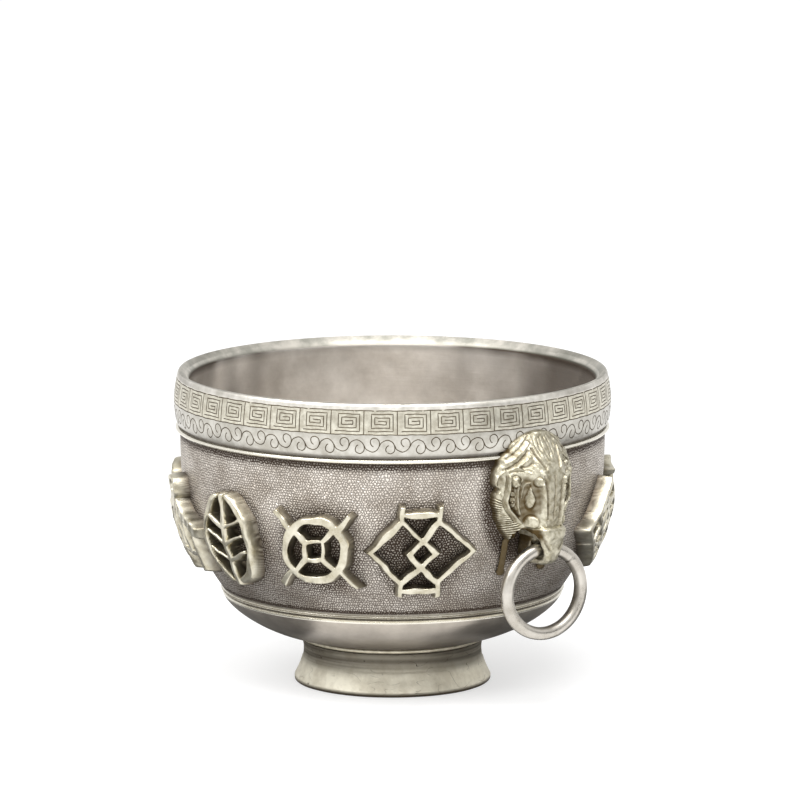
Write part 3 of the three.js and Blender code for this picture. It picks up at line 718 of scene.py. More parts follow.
@dataclass
class RimBand:
    """The thick collar with its lip, and the lines engraved on it."""

    wall: Wall
    box: np.ndarray = field(default_factory=lambda: node_box("rim_band"))
    heel_radius: float = 51.5
    band_radius: float = 52.05
    lip_radius: float = 51.0
    bevel_drop: float = 2.1
    groove: float = 0.8
    line_width: float = 0.23
    line_proud: float = 0.012
    line_depth: float = 0.1
    hand_waver: float = 0.045
    fret_cells: int = 42
    fret_pitch: float = 0.79
    fret_side: float = 0.98
    scroll_waves: int = 46
    divide_share: float = 0.46
    top_share: float = 0.885
    curl: tuple[tuple[float, float], ...] = (
        (-1.88, 0.12), (-1.35, -0.83), (-0.1, -1.4), (1.05, -1.0), (1.66, 0.05), (1.58, 1.2), (0.75, 1.85),
        (-0.15, 1.55), (-0.4, 0.83), (-0.1, 0.1), (0.3, -0.2))

    def belly(self, steps: int) -> np.ndarray:
        """The collar's outer face, a quadratic Bezier from heel to lip."""
        low, high = float(self.box[0, 2]) + self.groove, float(self.box[1, 2]) - self.bevel_drop
        gap = self.wall.seat_gap
        return bezier([(self.heel_radius, low), (self.band_radius + 0.7, (low + high) / 2.0),
                       (self.lip_radius + gap, high + self.bevel_drop / 2.0)], steps)

    def radius_at(self, height: np.ndarray) -> np.ndarray:
        """Outer radius of the collar at each height."""
        line = self.belly(80)
        return np.interp(height, line[:, 1], line[:, 0])

    def collar(self) -> bpy.types.Object:
        """Builds the collar with its rounded lip and inner bevel."""
        mouth = self.wall.wall_radius - self.wall.thickness
        top, base = float(self.box[1, 2]), float(self.box[0, 2])
        crown = bezier([(self.lip_radius + self.wall.seat_gap, top - self.bevel_drop / 2.0),
                        (self.lip_radius + 0.2, top), (self.lip_radius - 0.5, top)], 10)[1:]
        bevel = bezier([(self.lip_radius - 0.7, top), (mouth + 0.5, top - 1.3),
                        (mouth, top - self.bevel_drop)], 12)
        inner = np.stack([np.full(8, mouth), np.linspace(top - self.bevel_drop - 0.4, base, 8)], axis=1)
        outline = np.vstack([
            inner[-1:], [[self.wall.wall_radius, base], [self.wall.wall_radius, base + self.groove]],
            [[self.heel_radius, base + self.groove]], self.belly(40), crown, bevel, inner[:-1]])
        piece = lathe("rim_band_finished", outline)
        radius, angle, height = polar(vertices_of(piece))
        bevel_foot = top - self.bevel_drop
        # Painted shade on the lip at two opposite ends, streaked like tarnish.
        streaks = 0.7 + 0.3 * np.sin(11.0 * angle + 1.5 * height)
        ends = 0.45 * smoothstep(np.abs(np.cos(angle - PAINTED_SHADE_ANGLE)), 0.5, 0.95)
        ends = ends * streaks * smoothstep(height, top - 1.4, top - 1.0)
        # A dark joint with painted shade where the band meets the wall; inside, a dark line at the foot of the
        # bevel and painted shade at two places.
        joint = 0.85 * bump(height, base + 0.2, 0.6)
        below = 1.0 - smoothstep(height, bevel_foot, top - 0.6 * self.bevel_drop)
        seam = 0.6 * bump(height, bevel_foot, 0.5)
        within = np.clip(seam + below * inside_painted_shade(angle, height), 0.0, 1.0)
        set_attribute(piece, "grime_and_painted_shade", np.where(radius > mouth + 1.0, joint + ends, within))
        finish_piece(piece, ENGRAVED_BAND, "bowl", "engraved_band", "rim_band")
        radius, _, height = polar(face_middles(piece))
        inside = radius < mouth + 0.4
        fret_low, fret_high = self.zone(self.divide_share, self.top_share)
        dress_zone(piece, INTERIOR, inside & (height < top - 0.8 * self.bevel_drop))
        dress_zone(piece, FRET_GROUND, ~inside & (height > fret_low) & (height < fret_high))
        dress_zone(piece, LIP, ~inside & (height > fret_high))
        dress_zone(piece, RIM_TOP, (radius < self.lip_radius - 0.1) & (height > top - 0.93 * self.bevel_drop))
        return piece

    def ribbon(self, name: str, path: np.ndarray, copies: int, closed: bool = False) -> bpy.types.Object:
        """Lays a flat line on the collar, repeated round it.

        Each station of the path gets four corners, left and right of the line, just proud of
        the collar and just inside it.

        Args:
            name: The object's name.
            path: Points as (distance along the collar, height), n by 2.
            copies: Number of copies round the collar.
            closed: Whether the path joins its own end.

        Returns:
            The ribbons as one object.
        """
        if closed:
            along = np.roll(path, -1, axis=0) - np.roll(path, 1, axis=0)
        else:
            along = np.gradient(path, axis=0)
        along = along / np.linalg.norm(along, axis=1, keepdims=True)
        side = np.stack([-along[:, 1], along[:, 0]], axis=1) * self.line_width / 2.0
        edges = np.stack([path - side, path + side, path + side, path - side], axis=1)
        lift = np.array([self.line_proud, self.line_proud, -self.line_depth, -self.line_depth])
        shift = np.arange(copies)[:, None, None] * TAU / copies
        angle = edges[..., 0] / self.band_radius + shift
        radius = self.radius_at(edges[..., 1]) + lift + out_of_round(angle)
        waver = self.hand_waver * (np.sin(61.0 * angle + 1.3 * edges[..., 1])
                                   + 0.6 * np.sin(143.0 * angle - 2.1 * edges[..., 1]))
        one = grid_faces(len(path), 4, closed, True)
        if not closed:
            last = 4 * (len(path) - 1)
            one = np.vstack([one, [[3, 2, 1, 0]], [[last, last + 1, last + 2, last + 3]]])
        faces = (one[None] + (np.arange(copies) * 4 * len(path))[:, None, None]).reshape(-1, 4)
        piece = mesh_object(name, from_polar(radius, angle, edges[..., 1] + waver), faces)
        set_attribute(piece, "grime_and_painted_shade", np.full(len(piece.data.vertices), 0.3))
        return finish_piece(piece, ENGRAVING, "bowl", "engraved_band")

    def zone(self, low_share: float, high_share: float) -> tuple[float, float]:
        """Heights of a zone given as shares of the collar's height."""
        base, tall = float(self.box[0, 2]), float(self.box[1, 2] - self.box[0, 2])
        return base + low_share * tall, base + high_share * tall

    def fret(self) -> list[bpy.types.Object]:
        """One rectangular spiral per cell, drawn inwards turn by turn, and a bar between cells."""
        low, high = self.zone(self.divide_share, self.top_share)
        pitch = self.fret_pitch
        width = TAU * self.band_radius / self.fret_cells
        half = np.array([width / 2.0 - self.fret_side, (high - low) / 2.0 - pitch])
        corners = []
        turn = 0
        while half[1] - pitch * turn > 0.2:
            reach = half - pitch * turn
            corners += [(-reach[0], -reach[1]), (reach[0], -reach[1]), (reach[0], reach[1]),
                        (pitch - reach[0], reach[1])]
            turn += 1
        path = np.array(corners) + [0.0, (low + high) / 2.0]
        steps = [np.linspace(a, b, 9)[:-1] for a, b in zip(path[:-1], path[1:])]
        edge = np.stack([np.full(9, width / 2.0), np.linspace(low, high, 9)], axis=1)
        return [self.ribbon("fret_lines", np.vstack([*steps, path[-1:]]), self.fret_cells),
                self.ribbon("fret_bars", edge, self.fret_cells)]

    def scroll(self) -> list[bpy.types.Object]:
        """A running scroll: each spiral leaves the flank of the last, standing and hanging in turn."""
        low, high = self.zone(0.075, self.divide_share)
        length = TAU * self.band_radius / self.scroll_waves
        curl = through(self.curl, 6)
        pieces = []
        for name, place, sign in (("scroll_standing", 0.25, 1.0), ("scroll_hanging", 0.75, -1.0)):
            path = np.stack([place * length + curl[:, 0], (low + high) / 2.0 - 0.1 + sign * curl[:, 1]], axis=1)
            pieces.append(self.ribbon(name, path, self.scroll_waves))
        return pieces

    def rules(self) -> list[bpy.types.Object]:
        """The two engraved lines round the collar: under the lip and between the zones."""
        pieces = []
        for name, share in (("rule_under_lip", self.top_share), ("rule_between", self.divide_share)):
            x = np.arange(720) * TAU * self.band_radius / 720
            height = self.zone(share, 1.0)[0]
            pieces.append(self.ribbon(name, np.stack([x, np.full_like(x, height)], axis=1), 1, closed=True))
        return pieces

    def make(self) -> None:
        """Builds the collar and its engraving."""
        self.collar()
        self.fret()
        self.scroll()
        self.rules()


@dataclass
class Mouldings:
    """The bead under the band, the moulding under the wall, the foot and its collar."""

    wall: Wall
    foot_flare: float = 1.9
    foot_land: float = 1.2
    foot_waist_height: float = 5.4
    foot_wall: float = 2.5
    foot_edge: float = 0.6
    collar_seat: float = 0.45
    fillet_waves: tuple[tuple[float, float, float], ...] = (
        (0.14, 0.045, 0.14), (0.59, 0.075, 0.6), (0.36, 0.09, -0.38))

    def half_round(self, name: str, node: str) -> bpy.types.Object:
        """A half-round wire that fills its CAD node's section.

        Args:
            name: The object's name.
            node: The CAD node.

        Returns:
            The wire's object.
        """
        low, high = node_box(node)
        thickness = {"rim_bead": 0.8, "foot_collar": 0.9}[node]
        inner = high[0] - thickness
        swing = np.linspace(-math.pi / 2.0, math.pi / 2.0, 20)
        crown = np.stack([inner + thickness * np.cos(swing),
                          (low[2] + high[2]) / 2.0 + (high[2] - low[2]) / 2.0 * np.sin(swing)], axis=1)
        back = [[inner - self.wall.seat_gap - 0.05, high[2]], [inner - self.wall.seat_gap - 0.05, low[2]]]
        piece = lathe(name, np.vstack([crown, back]))
        set_attribute(piece, "grime_and_painted_shade", np.zeros(len(piece.data.vertices)))
        finish = WORN_COLLAR if node == "foot_collar" else MOULDING
        return finish_piece(piece, finish, "bowl", "bright_moulding", node)

    def fillet(self) -> bpy.types.Object:
        """From below: a thin ridge, a groove, a bright ridge and a band darkened by painted shade up to the
        wall.
        """
        low, high = node_box("lower_fillet")
        gap = self.wall.seat_gap
        tall = high[2] - low[2] + 2.0 * gap
        share = np.linspace(0.0, 1.0, 56)
        body = self.wall.body_radius
        waves = sum(rise * bump(share, place, spread) for place, spread, rise in self.fillet_waves)
        face = body + waves + (self.wall.ridge - 0.1) * smoothstep(share, 0.6, 1.0)
        inner = body - self.wall.seat_depth - 0.05
        outline = np.vstack([np.stack([face, low[2] - gap + tall * share], axis=1),
                             [[inner, high[2] + gap], [inner, low[2] - gap]]])
        piece = lathe("lower_fillet_finished", outline)
        rise = (vertices_of(piece)[:, 2] - low[2] + gap) / tall
        # Patina in the groove, and painted shade on the band under the wall.
        band = 0.6 * smoothstep(rise, 0.7, 0.76) + 0.4 * smoothstep(rise, 0.92, 1.0)
        set_attribute(piece, "grime_and_painted_shade", np.clip(0.9 * bump(rise, 0.36, 0.075) + band, 0.0, 1.0))
        return finish_piece(piece, MOULDING, "bowl", "bright_moulding", "lower_fillet")

    def foot(self) -> bpy.types.Object:
        """The hollow foot: a worn land, a waisted sweep and a neck up to the bowl."""
        high = node_box("foot_ring")[1]
        base, top = high[0], high[2]
        waist, neck = base - self.foot_flare, base - self.foot_flare - self.collar_seat
        land, waist_height, wall = self.foot_land, self.foot_waist_height, self.foot_wall
        corner = bezier([(base - self.foot_edge, 0.0), (base, 0.0), (base, self.foot_edge)], 8)
        sweep = bezier([(base, land), (waist + 0.75, land + 2.1), (waist + 0.15, waist_height)], 26)
        step = bezier([(waist - 0.1, waist_height + 0.35), (waist - 0.55, top - 3.2), (waist, top - 1.7)], 22)
        outline = np.vstack([
            corner, sweep, step, [[waist, top - 1.4], [neck, top - 1.4], [neck, top], [neck - wall, top]],
            bezier([(waist - wall, waist_height), (waist - wall, 2.0), (base - wall, 0.0)], 20)])
        piece = lathe("foot_ring_finished", outline)
        _, angle, height = polar(vertices_of(piece))
        # Painted shade on the neck under the bowl, streaked, and a painted reflection of the floor's shadow on
        # the bottom edge.
        uneven = 0.5 + 0.5 * np.sin(2.0 * angle + 0.7 * height)
        streaks = 0.08 * np.sin(3.4 * height + 1.6 * np.sin(2.0 * angle))
        streaks = streaks + 0.07 * uneven * np.sin(9.0 * height + angle)
        neck = smoothstep(height + 0.3 * np.sin(3.0 * angle), waist_height - 1.6, waist_height + 2.4)
        grime_and_painted_shade = neck * (0.74 + streaks) + 1.0 - smoothstep(height, 0.45, 1.15)
        set_attribute(piece, "grime_and_painted_shade", np.clip(grime_and_painted_shade, 0.0, 1.0))
        return finish_piece(piece, FOOT, "bowl", "foot", "foot_ring")

    def make(self) -> None:
        """Builds all the turned trim."""
        self.half_round("rim_bead_finished", "rim_bead")
        self.half_round("foot_collar_finished", "foot_collar")
        self.fillet()
        self.foot()


@dataclass(frozen=True)
class Bar:
    """Straight stroke with square ends that reach half its width past both points."""

    start: tuple[float, float]
    end: tuple[float, float]
    width: float = 1.7

    def distance(self, x: np.ndarray, y: np.ndarray) -> np.ndarray:
        """Signed distance to the stroke's oriented box, negative inside."""
        a, b = np.array(self.start), np.array(self.end)
        middle, along = (a + b) / 2.0, (b - a) / np.linalg.norm(b - a)
        u = np.abs((x - middle[0]) * along[0] + (y - middle[1]) * along[1])
        v = np.abs((y - middle[1]) * along[0] - (x - middle[0]) * along[1])
        du = u - (np.linalg.norm(b - a) + self.width) / 2.0
        dv = v - self.width / 2.0
        return np.hypot(np.maximum(du, 0.0), np.maximum(dv, 0.0)) + np.minimum(np.maximum(du, dv), 0.0)


@dataclass(frozen=True)
class Arc:
    """Round stroke about a centre, from one angle in degrees to another."""

    centre: tuple[float, float]
    radius: float
    first: float = 0.0
    last: float = 360.0
    width: float = 1.7

    def distance(self, x: np.ndarray, y: np.ndarray) -> np.ndarray:
        """Signed distance to the stroke, its ends taken as round."""
        dx, dy = x - self.centre[0], y - self.centre[1]
        on_ring = np.abs(np.hypot(dx, dy) - self.radius)
        swing = np.mod(np.degrees(np.arctan2(dy, dx)) - self.first, 360.0)
        tips = [np.hypot(dx - self.radius * math.cos(math.radians(end)),
                         dy - self.radius * math.sin(math.radians(end)))
                for end in (self.first, self.last)]
        off_ring = np.minimum(tips[0], tips[1])
        return np.where(swing <= self.last - self.first, on_ring, off_ring) - self.width / 2.0


Stroke = Bar | Arc


def path_of(points: Sequence[tuple[float, float]], width: float = 1.7) -> list[Stroke]:
    """Bars from each point to the next."""
    return [Bar(a, b, width) for a, b in zip(points[:-1], points[1:])]


def loop_of(points: Sequence[tuple[float, float]], width: float = 1.7) -> list[Stroke]:
    """Bars from each point to the next and back to the first."""
    return path_of([*points, points[0]], width)


def mirrored(draw: Callable[[int], list[Stroke]]) -> list[Stroke]:
    """A drawing and its mirror image."""
    return [*draw(1), *draw(-1)]


def lozenge(x: float, y: float, half: float) -> list[Stroke]:
    """A square frame stood on its corner."""
    return loop_of([(x + half, y), (x, y + half), (x - half, y), (x, y - half)])


class Emblem(Enum):
    """The ten cast emblems, with each one's side of the bowl and step from the side's middle."""

    KNOT = ("relief_knot", 1, 2)
    GOURD = ("relief_gourd", 1, 1)
    PEARL = ("relief_pearl", 1, 0)
    WHEEL = ("relief_wheel", 1, -1)
    CLOUD = ("relief_cloud", 1, -2)
    LOZENGES = ("relief_lozenges", -1, 2)
    COIN = ("relief_coin", -1, 1)
    LEAF = ("relief_leaf", -1, 0)
    CHIME = ("relief_chime", -1, -1)
    RUYI = ("relief_ruyi", -1, -2)

    @property
    def node(self) -> str:
        """The CAD node that it stands for."""
        return self.value[0]

    @property
    def angle(self) -> float:
        """Where it sits about the axis, in radians."""
        return self.value[1] * (math.pi / 2.0 - self.value[2] * math.radians(28.0)) + math.radians(1.65)

    def strokes(self) -> list[Stroke]:
        """The emblem's openwork, as strokes in millimetres about its middle.

        Returns:
            Bars and arcs that touch, so that the casting is one piece.
        """
        if self is Emblem.COIN:
            return [Arc((0, 0), 7.4, width=2.1),
                    *loop_of([(2.2, 2.2), (-2.2, 2.2), (-2.2, -2.2), (2.2, -2.2)], 1.4),
                    *mirrored(lambda s: [Bar((2.2 * s, 2.2), (5.2 * s, 5.2)),
                                         Bar((2.2 * s, -2.2), (5.2 * s, -5.2)),
                                         Bar((6 * s, -5), (8.8 * s, -8.4)), Bar((6 * s, 5), (8.8 * s, 8.4))])]
        if self is Emblem.LOZENGES:
            return [*mirrored(lambda s: lozenge(4.4 * s, 0, 7.6)),
                    *mirrored(lambda s: [Bar((-4.4, 9.4 * s), (4.4, 9.4 * s)),
                                         Bar((-4.4, 7.4 * s), (-4.4, 10.6 * s)),
                                         Bar((4.4, 7.4 * s), (4.4, 10.6 * s))])]
        if self is Emblem.LEAF:
            veins = [(-5.5, 1.2), (-1.5, 1.2), (2.5, 1.2)]
            return [Arc((-4.5, 0), 12, -58, 58), Arc((4.5, 0), 12, 122, 238), Bar((0, -11), (0, 10.4), 1.5),
                    *mirrored(lambda s: [Bar((0, y), (5.8 * s, y + 3.2), w) for y, w in veins])]
        if self is Emblem.RUYI:
            return [Arc((0, 5.6), 4.8), Bar((0, 0.8), (0, -10.2), 2.2), Bar((-5, -10.2), (5, -10.2)),
                    *mirrored(lambda s: [Arc((5.6 * s, 0.5), 4.3), Bar((5.6 * s, -3.8), (0.6 * s, -7.4))])]
        if self is Emblem.CHIME:
            return [*path_of([(-10.8, -0.5), (0, 5.6), (10.8, -0.5)], 3), Arc((0, 8.6), 2.4),
                    Bar((0, 4), (0, -10.2), 2),
                    *mirrored(lambda s: [Bar((9.6 * s, -1), (9.6 * s, -9.6), 1.5),
                                         Bar((4.6 * s, 2), (4.6 * s, -6), 1.5),
                                         Bar((0, -6), (9.6 * s, -6), 1.3)])]
        if self is Emblem.KNOT:
            return [*lozenge(0, 0, 10.2),
                    *mirrored(lambda s: [
                        Bar((-6.6, -3.4 * s), (3.4, -6.6 * s)), Bar((-3.4, 6.6 * s), (6.6, -3.4 * s)),
                        Bar((-6.6, 3.4 * s), (3.4, -6.6 * s)), Bar((-3.4, -6.6 * s), (6.6, 3.4 * s))])]
        if self is Emblem.GOURD:
            return [Arc((0, -4.8), 6), Arc((0, 4.8), 4.1), Bar((0, 8.8), (0, 10.8)),
                    Bar((0, -10.8), (0, -2.2), 1.4),
                    *mirrored(lambda s: [Bar((0, 10.4), (4.6 * s, 9)), Bar((-4.8 * s, -4.8), (0, -4.8), 1.4)])]
        if self is Emblem.PEARL:
            return [Arc((0, 0), 4.4, width=2.2), Arc((0, 0), 9.4, 200, 340), Bar((0, 4.4), (0, 10.4)),
                    *mirrored(lambda s: [Bar((3.4 * s, -3.4), (6.3 * s, -6.6)), Bar((3 * s, 3.4), (5.4 * s, 9)),
                                         Bar((8.8 * s, -3.2), (8.8 * s, 3.6))])]
        if self is Emblem.CLOUD:
            return [Arc((0, 6), 3.6, -20, 200), Bar((-9.6, -6.4), (9.6, -6.4)), Bar((0, -6.4), (0, 2.4)),
                    Bar((-1.9, 2.4), (1.9, 2.4)),
                    *mirrored(lambda s: [Arc((5.8 * s, 1.6), 4.2), Bar((5.8 * s, 1.6), (8.8 * s, -1.4), 1.4),
                                         Bar((3.4 * s, 4.8), (4.4 * s, 4.2)),
                                         Bar((5.8 * s, -2.6), (5.8 * s, -6.4)),
                                         Bar((9.6 * s, -6.4), (9.6 * s, -9.8))])]
        spokes = [math.radians(turn) for turn in range(0, 360, 60)]
        return [Arc((0, 0), 9, width=1.9), Arc((0, 0), 3),
                *[Bar((3.4 * math.cos(a), 3.4 * math.sin(a)), (8.6 * math.cos(a), 8.6 * math.sin(a)), 1.5)
                  for a in spokes]]


@dataclass
class Reliefs:
    """The openwork emblems, raised from the matted wall with drafted sides, darker towards the wall by patina
    and painted shade.
    """

    wall: Wall
    rise: float = 3.9
    middle: float = 40.3
    half_height: float = 11.8
    half_width: float = 13.4
    spacing: float = 0.18
    draft: float = 0.5
    sunk: float = 0.4
    slab: float = 0.9

    def places(self) -> list[tuple[float, float]]:
        """Angle and height of each emblem's middle."""
        return [(emblem.angle, self.middle) for emblem in Emblem]

    def make_one(self, emblem: Emblem) -> bpy.types.Object:
        """Raises one emblem as a height field over a patch of wall.

        The height climbs with the distance inside the nearest stroke, over the draft's width,
        and the faces stay a little uneven. Outside the strokes the patch lies under the wall.

        Args:
            emblem: Which emblem.

        Returns:
            The emblem's object, closed by a back inside the wall.
        """
        x = np.arange(-self.half_width, self.half_width + 1e-6, self.spacing)[None, :]
        y = np.arange(-self.half_height, self.half_height + 1e-6, self.spacing)[:, None]
        x, y = np.broadcast_arrays(x, y)
        seed = 3.0 * emblem.angle
        bent_x = x + 0.3 * np.sin(0.42 * y + seed) + 0.14 * np.sin(0.95 * y - 0.5 * x + 2.0 * seed)
        bent_y = y + 0.3 * np.sin(0.38 * x - seed) + 0.14 * np.sin(0.9 * x + 0.6 * y + seed)
        inside = -np.min([stroke.distance(bent_x, bent_y) for stroke in emblem.strokes()], axis=0)
        inside = inside + 0.12 * np.sin(0.55 * x + 0.35 * y + seed) + 0.05 * np.sin(1.7 * x - 1.3 * y + seed)
        share = np.clip((inside + 0.16) / self.draft, 0.0, 1.0)
        shape = 1.0 - (1.0 - share) ** 2.2
        uneven = 0.1 * np.sin(0.5 * x + 0.8 * y + seed) + 0.05 * np.sin(2.3 * x - 1.1 * y)
        height = -self.sunk + (self.rise + self.sunk - 0.15 + uneven) * shape
        z = self.middle + y
        base = self.wall.radius_at(z)
        radii = [base + height, base - self.slab]
        turns = [emblem.angle + np.arcsin(x / radius) for radius in radii]
        piece = raised_patch(f"{emblem.node}_cast", turns, radii, z)
        radius, _, height = polar(vertices_of(piece))
        up = radius - self.wall.radius_at(height)
        # Patina and painted shade on the sides, darkest where they meet the wall.
        set_attribute(piece, "grime_and_painted_shade", 0.9 * (1.0 - smoothstep(up, 0.1 * self.rise, 0.82 * self.rise)))
        return finish_piece(piece, EMBLEM, "bowl", "emblem", emblem.node)

    def make(self) -> None:
        """Raises all ten emblems."""
        for emblem in Emblem:
            self.make_one(emblem)


@dataclass(frozen=True)
class ChasedLine:
    """Ridge or groove along a curve on the mask's face, on both sides of the nose."""

    knots: tuple[tuple[float, float], ...]
    width: float
    rise: float

    def height(self, across: np.ndarray, z: np.ndarray) -> np.ndarray:
        """Rise times exp(-(d / width)^2), d the distance from the smooth line through the knots."""
        return self.rise * bump(path_distance(through(self.knots, 4), across, z), 0.0, self.width)


@dataclass(frozen=True)
class Boss:
    """Boss of the mask's face: its middle, half-sizes and rise; some come to a point or are flat."""

    across: float
    z: float
    half_width: float
    half_height: float
    rise: float
    point: float = 0.0
    flat: bool = False

    def reach(self, across: np.ndarray, z: np.ndarray) -> np.ndarray:
        """Share of the way from the middle to the rim; the width narrows upwards by the point."""
        narrow = 1.0 - self.point * smoothstep(z - self.z, -0.3 * self.half_height, self.half_height)
        return np.hypot((across - self.across) / (self.half_width * narrow), (z - self.z) / self.half_height)

    def height(self, across: np.ndarray, z: np.ndarray) -> np.ndarray:
        """A half egg, or a disc with rounded edge, in a narrow moat."""
        reach = self.reach(across, z)
        if self.flat:
            top = self.rise * (1.0 - smoothstep(reach, 0.72, 1.06)) - 0.12 * bump(reach, 0.0, 0.45)
        else:
            top = self.rise * np.sqrt(np.clip(1.0 - reach**2, 0.0, 1.0))
        return top - 0.22 * bump(reach, 1.2, 0.13)


@dataclass(frozen=True)
class MaskOutline:
    """The mask's egg-shaped outline about the line where it is widest."""

    middle: float = 54.0
    half_width: float = 11.8
    crown: float = 13.6
    jaw: float = 14.8
    cheek_drop: float = 12.6
    scallop: float = 0.5
    scallops: float = 4.0

    @property
    def top(self) -> float:
        """Height of the crown's top."""
        return self.middle + self.crown

    @property
    def bottom(self) -> float:
        """Height at which the cheeks are cut off."""
        return self.middle - self.cheek_drop

    def at_lean(self, lean: np.ndarray) -> np.ndarray:
        """Half-width at an angle about the middle: the egg's cosine with its scallops."""
        return (self.half_width + self.scallop * np.abs(np.sin(self.scallops * lean))) * np.cos(lean)

    def width_at(self, z: np.ndarray) -> np.ndarray:
        """Half-width of the true curve at each height."""
        reach = np.where(z > self.middle, self.crown, self.jaw)
        return self.at_lean(np.arcsin(np.clip((z - self.middle) / reach, -1.0, 1.0)))

    def carved_width_at(self, z: np.ndarray) -> np.ndarray:
        """Half-width with the notch under the ear, small lobes on the crown and locks on the mane."""
        up = z - self.middle
        notch = 0.9 * bump(up, 0.3, 0.7)
        lobes = 0.3 * np.sin(TAU * up / 3.4) * smoothstep(up, 4.0, 6.0) * (1.0 - smoothstep(up, 11.0, 12.5))
        locks = 0.35 * np.abs(np.sin(math.pi * (up + 1.6) / 3.3)) * (1.0 - smoothstep(up, -1.6, -1.0))
        return self.width_at(z) - notch + lobes - 0.7 * bump(up, -5.0, 4.2) + locks


@dataclass
class BeastMask:
    """A cast mask: a face chased with sockets, brows, mane and crown, over the CAD's beak and tails."""

    side: str
    wall: Wall
    outline: MaskOutline = field(default_factory=MaskOutline)
    spacing: float = 0.13
    sunk: float = 0.4
    slab: float = 0.9
    draft: float = 0.7
    mouth_half: float = 6.2
    mouth_roof: float = 44.9
    mouth_middle: float = 4.6
    voxel: float = 0.24
    edge: float = 1.3
    dome: float = 4.6
    dome_power: float = 2.2
    crown_dome: float = 1.1
    nose_rise: float = 2.7
    nose_half: float = 4.6
    mane_pitch: float = 0.68
    lines: tuple[ChasedLine, ...] = (
        ChasedLine(((8.6, 57.4), (8.6, 54.8), (8.9, 52.9), (9.1, 51.6), (8.6, 50.1), (7.6, 48.7), (6.5, 47.2),
                    (5.9, 46.3)), 0.28, 0.6),
        ChasedLine(((9.0, 57.6), (9.15, 55.4), (9.4, 53.1), (9.75, 51.8), (9.3, 50.0), (8.3, 48.4),
                    (7.2, 46.8)), 0.18, -0.4),
        ChasedLine(((8.35, 56.2), (8.15, 54.4), (8.4, 53.0), (8.6, 51.7), (8.1, 50.4), (7.1, 49.0),
                    (6.1, 47.7)), 0.18, -0.4),
        ChasedLine(((7.3, 55.0), (7.25, 52.8), (7.3, 51.0), (6.9, 49.6)), 0.18, 0.3),
        ChasedLine(((5.9, 56.6), (6.5, 55.0), (6.7, 53.0), (6.6, 50.6), (6.1, 48.4)), 0.22, 0.4),
        ChasedLine(((4.6, 55.9), (5.4, 55.6), (5.9, 54.0), (6.0, 52.3)), 0.17, 0.3),
        ChasedLine(((2.9, 55.6), (2.5, 53.4), (2.3, 49.8), (2.0, 45.6)), 0.28, 0.6),
        ChasedLine(((2.2, 56.0), (1.75, 53.0), (1.6, 49.5), (1.5, 47.2)), 0.2, -0.45),
        ChasedLine(((2.4, 57.6), (2.1, 56.2), (1.65, 54.8)), 0.16, -0.3),
        ChasedLine(((0.0, 57.4), (0.0, 53.4), (0.0, 50.0), (0.0, 47.4)), 0.16, -0.35),
        ChasedLine(((3.9, 63.6), (3.5, 62.2), (2.9, 60.6), (2.3, 59.3)), 0.2, 0.2),
        ChasedLine(((3.5, 63.6), (3.0, 62.0), (2.4, 60.4), (1.8, 59.2)), 0.2, -0.45),
        ChasedLine(((4.3, 63.1), (5.4, 61.7), (6.6, 60.6), (8.3, 59.5), (9.8, 58.9)), 0.22, -0.45),
        ChasedLine(((4.2, 62.0), (5.2, 60.9), (6.8, 59.8), (8.6, 58.8)), 0.26, 0.35),
        ChasedLine(((4.0, 60.4), (4.9, 59.6), (5.9, 59.5)), 0.28, -0.4),
        ChasedLine(((6.9, 59.5), (5.8, 58.8), (4.7, 58.1)), 0.2, 0.5),
        ChasedLine(((0.5, 66.2), (0.7, 63.6), (0.3, 61.4)), 0.15, -0.14),
        ChasedLine(((1.3, 66.0), (1.5, 63.6), (1.1, 61.2)), 0.15, -0.14),
        ChasedLine(((2.3, 65.8), (2.4, 64.0), (2.0, 62.0)), 0.15, -0.14),
        ChasedLine(((3.1, 66.4), (4.6, 65.0), (6.0, 63.5), (7.4, 62.3), (8.8, 61.4)), 0.18, -0.3),
        ChasedLine(((4.9, 65.9), (6.2, 64.6), (7.4, 63.6), (8.4, 62.9)), 0.16, -0.26),
        ChasedLine(((3.6, 65.0), (4.5, 63.9), (5.8, 62.6), (7.2, 61.4), (9.0, 60.5)), 0.2, 0.22),
        ChasedLine(((5.0, 58.9), (6.0, 58.6), (7.2, 58.6), (8.4, 58.3)), 0.18, -0.3),
        ChasedLine(((9.4, 58.9), (10.6, 57.6), (11.2, 56.3), (11.2, 55.2), (10.7, 54.0), (10.4, 52.9)),
                   0.24, 0.4))
    bosses: tuple[Boss, ...] = (
        Boss(7.2, 56.1, 0.95, 1.3, 0.9),
        Boss(3.3, 56.15, 0.7, 1.05, 0.75),
        Boss(4.55, 52.45, 0.74, 2.55, 0.85, point=0.8),
        Boss(4.2, 46.5, 0.95, 1.5, 0.7, flat=True),
        Boss(7.8, 53.2, 0.5, 0.65, 0.35, flat=True),
        Boss(7.85, 51.9, 0.5, 0.75, 0.35, flat=True),
        Boss(7.75, 50.7, 0.45, 0.75, 0.3, flat=True))

    @property
    def node(self) -> str:
        """The CAD node that the mask stands for."""
        return f"mask_{self.side}"

    @property
    def angle(self) -> float:
        """Where the mask sits about the axis."""
        return 0.0 if self.side == "right" else math.pi

    def make(self) -> None:
        """Builds the face, and the beak and tails under it."""
        self.face()
        self.beak()

